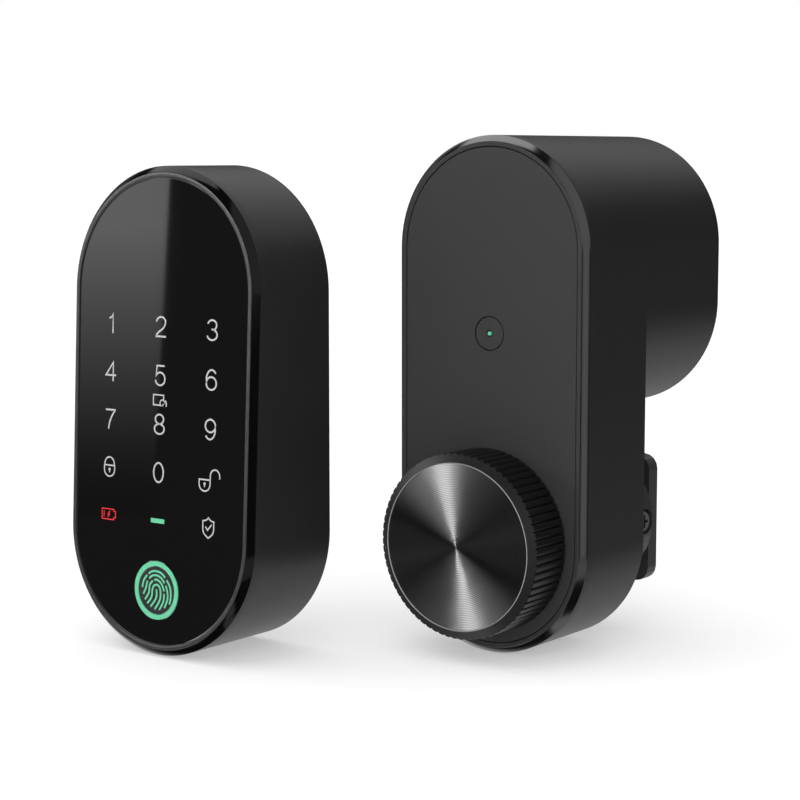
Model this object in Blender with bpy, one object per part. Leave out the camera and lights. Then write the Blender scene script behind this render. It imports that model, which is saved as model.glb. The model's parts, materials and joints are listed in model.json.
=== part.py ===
"""Keypad smart lock: an outdoor keypad unit and an indoor drive unit, standing side by side.

The drive unit turns the door's own thumb-turn: its knob shaft ends in a coupler drum whose jaw
grips the thumb-turn, and a motor turns the same shaft through a two-stage gear train.
Metres, +Z up. The fronts face -Y. The origin is on the drive unit's door face.
"""
import math

import bmesh
import bpy
from mathutils import Matrix

MM = 0.001

# Drive unit: door face at y = 0, front plane at y = -DRIVE_DEPTH.
DRIVE_WIDTH = 60.0 * MM
DRIVE_HEIGHT = 138.0 * MM
DRIVE_DEPTH = 72.0 * MM
BODY_DEPTH = 30.5 * MM
REAR_HEIGHT = 76.0 * MM
DRIVE_TOP = REAR_HEIGHT / 2
FLOOR_Z = DRIVE_TOP - DRIVE_HEIGHT
DRIVE_MID_Z = FLOOR_Z + DRIVE_HEIGHT / 2
FRONT_Y = -DRIVE_DEPTH
BODY_BACK_Y = FRONT_Y + BODY_DEPTH
PANEL_THICK = 1.8 * MM
BULKHEAD_THICK = 2.0 * MM
BULKHEAD_WINDOW_WIDTH = 44.0 * MM
BULKHEAD_WINDOW_HEIGHT = 56.0 * MM
BULKHEAD_WINDOW_Z = 1.0 * MM

# Cap screws of the bulkhead, as (x, z).
COVER_SCREWS = ((-24.0 * MM, -52.0 * MM), (24.0 * MM, -52.0 * MM), (0.0, -94.0 * MM))
CAP_SCREW_RADIUS = 1.1 * MM
CAP_SCREW_HOLE_RADIUS = 1.4 * MM
CAP_HEAD_RADIUS = 2.2 * MM
CAP_HEAD_TOP_RADIUS = 1.8 * MM
CAP_HEAD_SIDE = 1.0 * MM
CAP_HEAD_HEIGHT = 1.4 * MM
CAP_RECESS_SIZE = 2.2 * MM
CAP_RECESS_SLOT = 0.5 * MM
CAP_RECESS_DEPTH = 0.7 * MM

# Keypad unit: a wedge whose front leans back from its bottom edge.
KEYPAD_WIDTH = 66.0 * MM
KEYPAD_HEIGHT = 130.0 * MM
KEYPAD_DEPTH = 35.6 * MM
KEYPAD_MID_Z = KEYPAD_HEIGHT / 2
KEYPAD_LEAN = 0.047
KEYPAD_X = -69.4 * MM
KEYPAD_FRONT_Y = -128.0 * MM
SENSOR_Z = 17.6 * MM
STATUS_BAR_Z = 36.2 * MM

# Shared construction sizes.
WALL = 2.2 * MM
GAP = 0.2 * MM
CUT_MARGIN = 1.0 * MM
CHAMFER = 1.7 * MM
RIM_FLAT = 1.2 * MM
LEDGE_WIDTH = 1.6 * MM
LEDGE_THICK = 1.2 * MM
REAR_BEVEL = 0.6 * MM
SMALL_EDGE = 0.1 * MM
SEAT_DEPTH = 2.1 * MM
ARC_STEPS = 24
HIDDEN_ARC_STEPS = 10
SLIDE_TRAVEL = 7.0 * MM

# Rear recess, the same on both units: plate, studs and keyholed cover.
RECESS_RIM = 1.0 * MM
RECESS_DEPTH = 4.0 * MM
FLANGE_BACK = 6.0 * MM
FLANGE_INSET = 4.0 * MM
PAD_THICK = 0.8 * MM
PLATE_FRONT = 3.4 * MM
STUD_NECK_RADIUS = 2.0 * MM
STUD_HEAD_RADIUS = 4.0 * MM
STUD_HEAD_THICK = 1.5 * MM
STUD_CLEARANCE = 0.3 * MM
PAD_INSET = 1.0 * MM
DRIVE_PLATE_WIDTH = 50.0 * MM
DRIVE_PLATE_HEIGHT = 56.0 * MM
KEYPAD_PLATE_WIDTH = 56.0 * MM
KEYPAD_PLATE_HEIGHT = 110.0 * MM
DRIVE_STUDS_Z = (20.0 * MM, -12.0 * MM)
KEYPAD_STUDS_Z = (112.0 * MM, 22.0 * MM)

# Knob and coupler, on one axis.
KNOB_Z = -69.0 * MM
KNOB_FRONT_Y = FRONT_Y - 15.2 * MM
KNOB_BACK_Y = FRONT_Y - 0.5 * MM
KNOB_RADIUS = 24.65 * MM
RIDGE_COUNT = 72
RIDGE_DEPTH = 0.5 * MM
GRIP_BEVEL = 1.1 * MM
FACE_RADIUS = 21.7 * MM
TRIM_INNER = 21.85 * MM
TRIM_OUTER = 22.25 * MM
GRIP_INNER = 22.4 * MM
TRIM_DEPTH = 1.3 * MM
FACE_SINK = 0.2 * MM
FACE_THICK = 2.0 * MM
HUB_RADIUS = 8.0 * MM
HUB_BACK_Y = -73.2 * MM
WEB_FRONT_Y = -77.0 * MM
WEB_BACK_Y = -75.0 * MM
SHAFT_RADIUS = 5.0 * MM
SHAFT_FRONT_Y = KNOB_FRONT_Y + 2.5 * MM
SHAFT_BACK_Y = -36.3 * MM
SHAFT_CLEARANCE = 0.4 * MM
BUSH_RADIUS = 6.4 * MM
REAR_BUSH_RADIUS = 8.0 * MM
BUSH_FRONT_Y = FRONT_Y + 0.4 * MM
BUSH_BACK_Y = -66.0 * MM
REAR_BUSH_FRONT_Y = -45.5 * MM
DRUM_RADIUS = 20.75 * MM
DRUM_FRONT_Y = -40.6 * MM
DRUM_BACK_Y = -20.2 * MM
DRUM_EDGE = 0.5 * MM
SOCKET_END_Y = -36.0 * MM
ADAPTER_WIDTH = 38.2 * MM
ADAPTER_HEIGHT = 35.8 * MM
ADAPTER_CORNER = 4.0 * MM
ADAPTER_EDGE = 0.8 * MM
ADAPTER_FRONT_Y = -19.9 * MM
ADAPTER_BACK_Y = -14.5 * MM
SLOT_LEFT = -6.2 * MM
SLOT_RIGHT = 11.9 * MM
SLOT_HALF_HEIGHT = 15.5 * MM
SLOT_FLOOR_Y = -31.0 * MM

# Adapter screws, as (x, z from the knob axis): they end in blind holes in the drum.
ADAPTER_SCREWS = ((-12.3 * MM, 11.0 * MM), (14.6 * MM, -9.5 * MM))
ADAPTER_SCREW_RADIUS = 1.05 * MM
ADAPTER_HOLE_RADIUS = 1.3 * MM
ADAPTER_HEAD_RADIUS = 2.0 * MM
ADAPTER_HEAD_HOLE_RADIUS = 2.3 * MM
ADAPTER_HEAD_HEIGHT = 1.2 * MM
ADAPTER_HEAD_SINK = 1.4 * MM
ADAPTER_SCREW_END_Y = -26.0 * MM
ADAPTER_HOLE_END_Y = -26.5 * MM

# Clamp screw (M4, pitch 0.7 mm) and its jaw.
SCREW_Y = -24.0 * MM
SCREW_TIP_X = 6.8 * MM
SCREW_HEAD_X = 17.2 * MM
SCREW_END_X = 20.2 * MM
SCREW_RADIUS = 1.9 * MM
SCREW_HEAD_RADIUS = 3.2 * MM
JAW_LEFT = 6.0 * MM
JAW_RIGHT = 11.6 * MM
JAW_PAD_THICK = 1.2 * MM
JAW_END_GAP = 0.5 * MM
JAW_SIDE_GAP = 0.3 * MM
JAW_BORE_WALL = 0.5 * MM
SHANK_CLEARANCE = 0.3 * MM
HEAD_CLEARANCE = 0.4 * MM
BORE_CLEARANCE = 0.25 * MM
SCREW_TIP_EDGE = 0.4 * MM
SCREW_HEAD_EDGE = 0.6 * MM
SCREW_RECESS_SIZE = 3.6 * MM
SCREW_RECESS_SLOT = 0.8 * MM
SCREW_RECESS_DEPTH = 1.3 * MM

# Gear train, module 1: motor pinion -> wheel, pinion on the same pin -> output gear.
MODULE = 1.0 * MM
OUTPUT_TEETH = 32
WHEEL_TEETH = 28
PINION_TEETH = 12
REDUCTION_Z = KNOB_Z + MODULE * (OUTPUT_TEETH + PINION_TEETH) / 2
MOTOR_Z = REDUCTION_Z + MODULE * (WHEEL_TEETH + PINION_TEETH) / 2
PIN_RADIUS = 1.5 * MM
MOTOR_RADIUS = 10.0 * MM
WHEEL_FRONT_Y = -67.8 * MM
WHEEL_BACK_Y = -64.6 * MM
OUTPUT_FRONT_Y = -63.8 * MM
OUTPUT_BACK_Y = -59.2 * MM
GEAR_PLATE_FRONT_Y = -57.2 * MM
GEAR_PLATE_BACK_Y = -55.4 * MM
GEAR_PLATE_TOP_Z = -13.0 * MM
GEAR_END_GAP = 0.6 * MM
MOTOR_HOLE_RADIUS = 2.0 * MM
MOTOR_SHAFT_RADIUS = 1.0 * MM
MOTOR_FRONT_Y = GEAR_PLATE_BACK_Y + 0.4 * MM
MOTOR_LENGTH = 9.8 * MM
MOTOR_FRONT_EDGE = 0.6 * MM
MOTOR_BACK_EDGE = 0.8 * MM
MOTOR_BOSS_RADIUS = 3.0 * MM
MOTOR_BOSS_LENGTH = 1.0 * MM

# Status button and the board behind it.
BUTTON_Z = FLOOR_Z + 86.0 * MM
BUTTON_RADIUS = 4.35 * MM
BUTTON_GAP = 0.3 * MM
LIGHT_RADIUS = 0.75 * MM
BUTTON_STEM_END_Y = -67.6 * MM
BUTTON_STEM_RADIUS = 1.9 * MM
BUTTON_FLANGE_RADIUS = 5.3 * MM
BUTTON_FLANGE_FRONT_Y = -69.7 * MM
BUTTON_FLANGE_BACK_Y = -68.9 * MM
BUTTON_EDGE = 0.15 * MM
LIGHT_END_Y = -68.2 * MM
SWITCH_GAP = 0.75 * MM
SWITCH_HALF = 3.0 * MM
BOARD_SIZE = 44.0 * MM
BOARD_CORNER = 6.0 * MM
BOARD_MID_Z = 3.5 * MM
BOARD_FRONT_Y = -64.7 * MM
BOARD_BACK_Y = -63.3 * MM

# Cells: four in the drive unit, two in the keypad unit.
CELL_RADIUS = 7.25 * MM
CELL_LENGTH = 50.5 * MM
CELL_X = 8.0 * MM
CELL_ROWS_Y = (-33.0 * MM, -17.5 * MM)
CELL_BOTTOM_Z = -22.0 * MM
CELL_EDGE = 0.4 * MM
CELL_CONTACT_RADIUS = 2.6 * MM
CELL_CONTACT_HEIGHT = 1.0 * MM
TRAY_FRONT_Y = -41.1 * MM
TRAY_BACK_Y = -9.8 * MM
TRAY_BELOW = 2.4 * MM
TRAY_ABOVE = 1.8 * MM
TRAY_WEB = 0.6 * MM
TRAY_FLOOR = 2.1 * MM
TRAY_ROOF = 1.5 * MM
TRAY_HALF_WIDTH = 16.0 * MM
SHORT_CELL_RADIUS = 8.5 * MM
SHORT_CELL_LENGTH = 34.5 * MM
SHORT_CELL_X = 9.5 * MM
SHORT_CELL_Y = 20.8 * MM
SHORT_CELL_BOTTOM_Z = 60.0 * MM
SHORT_TRAY_FRONT = 11.0 * MM
SHORT_TRAY_BACK = 27.0 * MM
SHORT_TRAY_MARGIN = 2.0 * MM
SHORT_TRAY_WEB = 1.0 * MM
SHORT_TRAY_END = 1.7 * MM
SHORT_TRAY_HALF_WIDTH = 19.0 * MM

# Keypad's inside, depths behind the foot of its front plane.
GLASS_FRONT = 0.25 * MM
GLASS_BACK = 1.7 * MM
GLASS_SEAT = 1.9 * MM
SENSOR_HOLE_RADIUS = 8.0 * MM
RING_OUTER = 7.8 * MM
RING_INNER = 6.55 * MM
RING_BACK = 2.6 * MM
SENSOR_RADIUS = 6.35 * MM
SENSOR_BACK = 3.1 * MM
TOUCH_BOARD_INSET = 5.4 * MM
TOUCH_BOARD_FRONT = 3.5 * MM
TOUCH_BOARD_BACK = 4.7 * MM
STATUS_BAR_WIDTH = 4.8 * MM
STATUS_BAR_HEIGHT = 1.2 * MM
STATUS_BAR_CORNER = 0.5 * MM
STATUS_BAR_FRONT = 1.95 * MM
STATUS_BAR_BACK = 3.2 * MM
MAIN_BOARD_WIDTH = 46.0 * MM
MAIN_BOARD_HEIGHT = 42.0 * MM
MAIN_BOARD_CORNER = 4.0 * MM
MAIN_BOARD_Z = 33.0 * MM
MAIN_BOARD_FRONT = 9.6 * MM
MAIN_BOARD_BACK = 11.0 * MM
BUZZER_RADIUS = 10.0 * MM
BUZZER_HOLE_RADIUS = 3.0 * MM
BUZZER_Z = 36.0 * MM
BUZZER_FRONT = 11.3 * MM
BUZZER_BACK = 16.0 * MM

# Colour (linear), roughness, metallic of each sort of piece.
LOOKS = {
    "housing": ((0.010, 0.010, 0.011), 0.38, 0.0),
    "panel": ((0.030, 0.030, 0.031), 0.55, 0.0),
    "glass": ((0.004, 0.004, 0.005), 0.04, 0.0),
    "knob": ((0.035, 0.035, 0.037), 0.30, 1.0),
    "steel": ((0.55, 0.55, 0.56), 0.32, 1.0),
    "bright": ((0.75, 0.75, 0.76), 0.15, 1.0),
    "dark_plastic": ((0.020, 0.020, 0.021), 0.50, 0.0),
    "rubber": ((0.015, 0.015, 0.015), 0.80, 0.0),
    "board": ((0.010, 0.090, 0.035), 0.45, 0.0),
    "green_light": ((0.060, 0.600, 0.300), 0.30, 0.0),
    "cell": ((0.060, 0.090, 0.120), 0.35, 0.4),
    "brass": ((0.55, 0.38, 0.14), 0.30, 1.0),
    "nylon": ((0.70, 0.69, 0.64), 0.50, 0.0),
    "foam": ((0.05, 0.05, 0.05), 0.90, 0.0),
    "sensor": ((0.020, 0.022, 0.022), 0.25, 0.0),
}


# ---------------------------------------------------------------- outlines, as (x, z) lists

def stadium(width, height, inset=0.0, mid_z=0.0, steps=ARC_STEPS):
    """Upright stadium outline, running anticlockwise seen from -Y."""
    radius = width / 2 - inset
    straight = (height - width) / 2
    points = []
    for start, centre_z in ((0.0, mid_z + straight), (math.pi, mid_z - straight)):
        for step in range(steps + 1):
            angle = start + math.pi * step / steps
            points.append((radius * math.cos(angle), centre_z + radius * math.sin(angle)))
    return points


def circle(radius, count=36, x=0.0, z=0.0):
    """Round outline."""
    points = []
    for step in range(count):
        angle = 2 * math.pi * step / count
        points.append((x + radius * math.cos(angle), z + radius * math.sin(angle)))
    return points


def rounded_box(width, height, radius, x=0.0, z=0.0, steps=4):
    """Rectangle with round corners."""
    half_x = width / 2 - radius
    half_z = height / 2 - radius
    points = []
    for quarter, (sign_x, sign_z) in enumerate(((1, 1), (-1, 1), (-1, -1), (1, -1))):
        for step in range(steps + 1):
            angle = math.pi / 2 * (quarter + step / steps)
            corner_x = x + sign_x * half_x + radius * math.cos(angle)
            points.append((corner_x, z + sign_z * half_z + radius * math.sin(angle)))
    return points


def keyhole(x, z, slot_radius, hole_radius, drop):
    """Slot with a round top at (x, z) that runs down into a larger round hole."""
    points = []
    steps = 8
    for step in range(steps + 1):
        angle = math.pi * step / steps
        points.append((x + slot_radius * math.cos(angle), z + slot_radius * math.sin(angle)))
    half_mouth = math.asin(slot_radius / hole_radius)
    sweep = 2 * math.pi - 2 * half_mouth
    for step in range(2 * steps + 1):
        angle = math.pi / 2 + half_mouth + sweep * step / (2 * steps)
        hole_x = x + hole_radius * math.cos(angle)
        points.append((hole_x, z - drop + hole_radius * math.sin(angle)))
    return points


def gear(teeth, aim):
    """Spur gear outline with one tooth centred on the angle aim."""
    pitch_radius = MODULE * teeth / 2
    root = pitch_radius - 1.15 * MODULE
    tip = pitch_radius + 0.72 * MODULE
    root_half = 0.78 * MODULE / pitch_radius
    tip_half = 0.30 * MODULE / pitch_radius
    points = []
    for tooth in range(teeth):
        centre = aim + 2 * math.pi * tooth / teeth
        for radius, offset in ((root, -root_half), (tip, -tip_half), (tip, tip_half), (root, root_half)):
            angle = centre + offset
            points.append((radius * math.cos(angle), radius * math.sin(angle)))
    return points


def cross(arm_length, arm_width):
    """Plus sign, the recess of a cross-head screw."""
    a = arm_length / 2
    b = arm_width / 2
    return [(a, -b), (a, b), (b, b), (b, a), (-b, a), (-b, b),
            (-a, b), (-a, -b), (-b, -b), (-b, -a), (b, -a), (b, -b)]


# ---------------------------------------------------------------- solids

def clear_scene():
    for item in list(bpy.data.objects):
        bpy.data.objects.remove(item, do_unlink=True)


def make_material(name, look):
    """Principled material of one object."""
    colour, roughness, metallic = LOOKS[look]
    material = bpy.data.materials.new(name)
    material.use_nodes = True
    shader = material.node_tree.nodes["Principled BSDF"]
    shader.inputs["Base Color"].default_value = (*colour, 1.0)
    shader.inputs["Roughness"].default_value = roughness
    shader.inputs["Metallic"].default_value = metallic
    if look == "green_light":
        shader.inputs["Emission Color"].default_value = (*colour, 1.0)
        shader.inputs["Emission Strength"].default_value = 1.0
    return material


def finish_object(name, mesh_builder, look, parent=None, location=(0.0, 0.0, 0.0)):
    """Turn a bmesh into a named object with outward normals and smooth round faces."""
    bmesh.ops.recalc_face_normals(mesh_builder, faces=mesh_builder.faces)
    mesh = bpy.data.meshes.new(name)
    mesh_builder.to_mesh(mesh)
    mesh_builder.free()
    mesh.shade_smooth()
    mesh.set_sharp_from_angle(angle=math.radians(35))
    item = bpy.data.objects.new(name, mesh)
    bpy.context.collection.objects.link(item)
    item.parent = parent
    item.location = location
    if look:
        mesh.materials.append(make_material(name, look))
    return item


def loft(name, sections, look, closed=False, lean=0.0, parent=None, location=(0.0, 0.0, 0.0)):
    """Solid through sections of (outline, y) or (outline, y, leaning).

    Every outline has the same number of points. A closed loft joins its last section to its
    first, which leaves a hole through the solid; an open one has flat end caps. The y of a
    leaning section grows by lean per metre of height.
    """
    builder = bmesh.new()
    rings = []
    for section in sections:
        outline = section[0]
        slope = lean if len(section) > 2 and section[2] else 0.0
        rings.append([builder.verts.new((x, section[1] + slope * z, z)) for x, z in outline])
    pairs = list(zip(rings, rings[1:]))
    if closed:
        pairs.append((rings[-1], rings[0]))
    else:
        builder.faces.new(rings[0])
        builder.faces.new(rings[-1])
    for first, second in pairs:
        count = len(first)
        for index in range(count):
            following = (index + 1) % count
            builder.faces.new((first[index], first[following], second[following], second[index]))
    return finish_object(name, builder, look, parent, location)


def plate(name, outline, front, back, look, parent=None, location=(0.0, 0.0, 0.0), lean=0.0):
    """Flat piece between two y values."""
    leaning = lean != 0.0
    sections = [(outline, front, leaning), (outline, back, leaning)]
    return loft(name, sections, look, lean=lean, parent=parent, location=location)


def turned(name, profile, look, count=24, closed=False, parent=None, location=(0.0, 0.0, 0.0)):
    """Solid turned about the Y axis from (radius, y) points."""
    sections = [(circle(radius, count), y) for radius, y in profile]
    return loft(name, sections, look, closed=closed, parent=parent, location=location)


def profile_along_x(name, outline, left, right, look, parent=None, location=(0.0, 0.0, 0.0)):
    """Solid with a (y, z) outline, extruded along X."""
    builder = bmesh.new()
    ends = [[builder.verts.new((x, y, z)) for y, z in outline] for x in (left, right)]
    for ring in ends:
        builder.faces.new(ring)
    count = len(outline)
    for index in range(count):
        following = (index + 1) % count
        builder.faces.new((ends[0][index], ends[0][following], ends[1][following], ends[1][index]))
    return finish_object(name, builder, look, parent, location)


def box(name, low, high, look, parent=None, location=(0.0, 0.0, 0.0)):
    """Box between two corners."""
    outline = [(low[1], low[2]), (high[1], low[2]), (high[1], high[2]), (low[1], high[2])]
    return profile_along_x(name, outline, low[0], high[0], look, parent, location)


def turn_to_x(item):
    """Turn a piece built along -Y..+Y so that its +Y end points to +X."""
    item.data.transform(Matrix.Rotation(-math.pi / 2, 4, "Z"))


def cut(item, cutter):
    """Subtract a cutter with a Boolean modifier and hide the cutter."""
    modifier = item.modifiers.new(cutter.name, "BOOLEAN")
    modifier.operation = "DIFFERENCE"
    modifier.object = cutter
    cutter.hide_render = True
    cutter.display_type = "WIRE"


def empty(name, location):
    """Empty that carries a unit or a joint axis."""
    holder = bpy.data.objects.new(name, None)
    holder.location = location
    bpy.context.collection.objects.link(holder)
    return holder


# ---------------------------------------------------------------- shared rear hardware

def rear_recess(width, height, mid_z, back_y):
    """Sections from the rear edge inward to the cover flange and its front side."""
    steps = ((REAR_BEVEL, RECESS_RIM), (WALL, RECESS_RIM), (WALL, RECESS_DEPTH),
             (FLANGE_INSET, RECESS_DEPTH), (FLANGE_INSET, FLANGE_BACK), (WALL, FLANGE_BACK))
    return [(stadium(width, height, inset, mid_z), back_y - depth) for inset, depth in steps]


def keyholed_cover(name, width, height, mid_z, back_y, stud_heights, parent, location=(0, 0, 0)):
    """Rear cover that hangs on the plate's studs."""
    outline = stadium(width, height, FLANGE_INSET + GAP, mid_z, HIDDEN_ARC_STEPS)
    front = back_y - FLANGE_BACK + GAP
    cover = plate(name, outline, front, back_y - RECESS_DEPTH - GAP, "dark_plastic", parent, location)
    for index, stud_z in enumerate(stud_heights):
        hole = keyhole(0.0, stud_z, STUD_NECK_RADIUS + STUD_CLEARANCE,
                       STUD_HEAD_RADIUS + 2 * STUD_CLEARANCE, SLIDE_TRAVEL)
        cutter = plate(f"{name}_keyhole_{index + 1}", hole, back_y - 2 * FLANGE_BACK, back_y, None,
                       parent, location)
        cut(cover, cutter)
    return cover


def door_plate(prefix, width, height, mid_z, back_y, stud_heights, parent, location=(0, 0, 0)):
    """Plate, adhesive pad and studs that stay on the door."""
    plate_back = back_y - PAD_THICK - GAP
    plate_front = back_y - PLATE_FRONT
    outline = stadium(width, height, 0.0, mid_z, HIDDEN_ARC_STEPS)
    pad_outline = stadium(width, height, PAD_INSET, mid_z, HIDDEN_ARC_STEPS)
    plate(f"{prefix}_plate", outline, plate_front, plate_back, "steel", parent, location)
    plate(f"{prefix}_adhesive_pad", pad_outline, back_y - PAD_THICK, back_y, "foam", parent, location)
    neck_front = back_y - FLANGE_BACK - GAP
    profile = [(STUD_NECK_RADIUS, plate_front - GAP), (STUD_NECK_RADIUS, neck_front),
               (STUD_HEAD_RADIUS, neck_front), (STUD_HEAD_RADIUS, neck_front - STUD_HEAD_THICK)]
    for index, stud_z in enumerate(stud_heights):
        place = (location[0], location[1], location[2] + stud_z)
        turned(f"{prefix}_plate_stud_{index + 1}", profile, "steel", 14, parent=parent, location=place)


# ---------------------------------------------------------------- drive unit


def drive_outline(inset):
    return stadium(DRIVE_WIDTH, DRIVE_HEIGHT, inset, DRIVE_MID_Z)


def build_drive_front_housing(unit):
    """Tube with a chamfered rim and the ledge that the panel rests on."""
    opening = CHAMFER + RIM_FLAT
    seat_y = FRONT_Y + SEAT_DEPTH
    ledge_back = seat_y + LEDGE_THICK
    back = BODY_BACK_Y - GAP / 2
    sections = [
        (drive_outline(0.0), back),
        (drive_outline(0.0), FRONT_Y + CHAMFER),
        (drive_outline(CHAMFER), FRONT_Y),
        (drive_outline(opening), FRONT_Y),
        (drive_outline(opening), seat_y),
        (drive_outline(opening + LEDGE_WIDTH), seat_y),
        (drive_outline(opening + LEDGE_WIDTH), ledge_back),
        (drive_outline(WALL), ledge_back),
        (drive_outline(WALL), back),
    ]
    loft("drive_front_housing", sections, "housing", closed=True, parent=unit)


def build_drive_front_panel(unit):
    """Front panel with holes for the button and the shaft bushing."""
    outline = drive_outline(CHAMFER + RIM_FLAT + GAP)
    front = FRONT_Y + SMALL_EDGE
    panel = plate("drive_front_panel", outline, front, front + PANEL_THICK, "panel", unit)
    holes = (("button", BUTTON_RADIUS + BUTTON_GAP, BUTTON_Z), ("bushing", BUSH_RADIUS + GAP, KNOB_Z))
    for name, radius, height in holes:
        outline = circle(radius, 40, 0.0, height)
        cutter = plate(f"panel_{name}_hole", outline, front - CUT_MARGIN, front + PANEL_THICK + CUT_MARGIN,
                       None, unit)
        cut(panel, cutter)


def build_drive_back_plate(unit):
    """Bulkhead that closes the body behind the gears, with a window into the rear housing."""
    back = BODY_BACK_Y - SMALL_EDGE
    front = back - BULKHEAD_THICK
    bulkhead = plate("drive_back_plate", drive_outline(WALL + GAP), front, back, "housing", unit)
    window = stadium(BULKHEAD_WINDOW_WIDTH, BULKHEAD_WINDOW_HEIGHT, 0.0, BULKHEAD_WINDOW_Z, HIDDEN_ARC_STEPS)
    cutters = [("window", window),
               ("bushing_hole", circle(REAR_BUSH_RADIUS + GAP, 32, 0.0, KNOB_Z))]
    for index, (x, z) in enumerate(COVER_SCREWS):
        cutters.append((f"screw_hole_{index + 1}", circle(CAP_SCREW_HOLE_RADIUS, 12, x, z)))
    for name, outline in cutters:
        cut(bulkhead, plate(f"back_plate_{name}", outline, front - CUT_MARGIN, back + CUT_MARGIN, None, unit))


def build_cover_screws(unit):
    """Cap screws through the back plate into the gear plate."""
    head_front = BODY_BACK_Y + SMALL_EDGE
    head_back = head_front + CAP_HEAD_HEIGHT
    profile = [(CAP_SCREW_RADIUS, GEAR_PLATE_BACK_Y + GAP), (CAP_SCREW_RADIUS, head_front),
               (CAP_HEAD_RADIUS, head_front), (CAP_HEAD_RADIUS, head_front + CAP_HEAD_SIDE),
               (CAP_HEAD_TOP_RADIUS, head_back)]
    recess_outline = cross(CAP_RECESS_SIZE, CAP_RECESS_SLOT)
    for index, (x, z) in enumerate(COVER_SCREWS):
        screw = turned(f"drive_cover_screw_{index + 1}", profile, "steel", 16, parent=unit,
                       location=(x, 0.0, z))
        recess = plate(f"drive_cover_screw_recess_{index + 1}", recess_outline,
                       head_back - CAP_RECESS_DEPTH, head_back + CUT_MARGIN, None, unit, (x, 0.0, z))
        cut(screw, recess)


def build_drive_rear_housing(unit):
    """Deep stadium housing for the cells, open to the front."""
    front = BODY_BACK_Y + GAP
    outer = stadium(DRIVE_WIDTH, REAR_HEIGHT)
    sections = [(outer, front), (outer, -RECESS_RIM - REAR_BEVEL)]
    sections += rear_recess(DRIVE_WIDTH, REAR_HEIGHT, 0.0, 0.0)
    sections.append((stadium(DRIVE_WIDTH, REAR_HEIGHT, WALL), front))
    loft("drive_rear_housing", sections, "housing", closed=True, parent=unit)


def build_gear_plate(unit):
    """Plate that carries the gear pin and the motor."""
    bottom = FLOOR_Z + WALL + 3 * GAP
    top = GEAR_PLATE_TOP_Z
    width = DRIVE_WIDTH - 2 * WALL - 4 * GAP
    outline = stadium(width, top - bottom, 0.0, (top + bottom) / 2, HIDDEN_ARC_STEPS)
    piece = plate("gear_plate", outline, GEAR_PLATE_FRONT_Y, GEAR_PLATE_BACK_Y, "steel", unit)
    holes = (("shaft", SHAFT_RADIUS + SHAFT_CLEARANCE, KNOB_Z), ("motor", MOTOR_HOLE_RADIUS, MOTOR_Z))
    for name, radius, height in holes:
        outline = circle(radius, 32, 0.0, height)
        cutter = plate(f"gear_plate_{name}_hole", outline, GEAR_PLATE_FRONT_Y - CUT_MARGIN,
                       GEAR_PLATE_BACK_Y + CUT_MARGIN, None, unit)
        cut(piece, cutter)
    pin = [(PIN_RADIUS, WHEEL_FRONT_Y - GEAR_END_GAP), (PIN_RADIUS, GEAR_PLATE_FRONT_Y - GAP)]
    turned("reduction_pin", pin, "steel", 16, parent=unit, location=(0.0, 0.0, REDUCTION_Z))


def build_motor(unit):
    """Flat gear motor with its rear boss."""
    back = MOTOR_FRONT_Y + MOTOR_LENGTH
    profile = [(MOTOR_RADIUS - MOTOR_FRONT_EDGE, MOTOR_FRONT_Y),
               (MOTOR_RADIUS, MOTOR_FRONT_Y + MOTOR_FRONT_EDGE),
               (MOTOR_RADIUS, back - MOTOR_BACK_EDGE), (MOTOR_RADIUS - MOTOR_BACK_EDGE, back),
               (MOTOR_BOSS_RADIUS, back), (MOTOR_BOSS_RADIUS, back + MOTOR_BOSS_LENGTH)]
    turned("drive_motor", profile, "steel", 24, parent=unit, location=(0.0, 0.0, MOTOR_Z))


def build_bushings(unit):
    """Plain bearings of the knob shaft, one in the panel and one in the back plate."""
    bore = SHAFT_RADIUS + GAP
    rear_end = BODY_BACK_Y + SMALL_EDGE
    front = [(BUSH_RADIUS, BUSH_FRONT_Y), (BUSH_RADIUS, BUSH_BACK_Y),
             (bore, BUSH_BACK_Y), (bore, BUSH_FRONT_Y)]
    rear = [(REAR_BUSH_RADIUS, REAR_BUSH_FRONT_Y), (REAR_BUSH_RADIUS, rear_end),
            (bore, rear_end), (bore, REAR_BUSH_FRONT_Y)]
    for name, profile in (("knob_front_bushing", front), ("knob_rear_bushing", rear)):
        turned(name, profile, "nylon", 32, closed=True, parent=unit, location=(0.0, 0.0, KNOB_Z))


def build_drive_electronics(unit):
    """Circuit board with the switch behind the button."""
    outline = rounded_box(BOARD_SIZE, BOARD_SIZE, BOARD_CORNER, 0.0, BOARD_MID_Z)
    plate("drive_circuit_board", outline, BOARD_FRONT_Y, BOARD_BACK_Y, "board", unit)
    low = (-SWITCH_HALF, BUTTON_STEM_END_Y + SWITCH_GAP, BUTTON_Z - SWITCH_HALF)
    high = (SWITCH_HALF, BOARD_FRONT_Y - GAP, BUTTON_Z + SWITCH_HALF)
    box("tact_switch", low, high, "dark_plastic", unit)


def build_drive_cells(unit):
    """Four round cells in a tray."""
    number = 0
    for row_y in CELL_ROWS_Y:
        for side in (-1, 1):
            number += 1
            cell = turned(f"drive_cell_{number}", cell_profile(CELL_RADIUS, CELL_LENGTH), "cell", 16,
                          parent=unit, location=(side * CELL_X, row_y, CELL_BOTTOM_Z))
            cell.data.transform(Matrix.Rotation(math.pi / 2, 4, "X"))
    outer = (TRAY_FRONT_Y, TRAY_BACK_Y, CELL_BOTTOM_Z - TRAY_BELOW, CELL_BOTTOM_Z + CELL_LENGTH + TRAY_ABOVE)
    tray = tray_outline(outer, TRAY_WEB, TRAY_FLOOR, TRAY_ROOF)
    profile_along_x("drive_cell_tray", tray, -TRAY_HALF_WIDTH, TRAY_HALF_WIDTH, "dark_plastic", unit)


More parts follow.
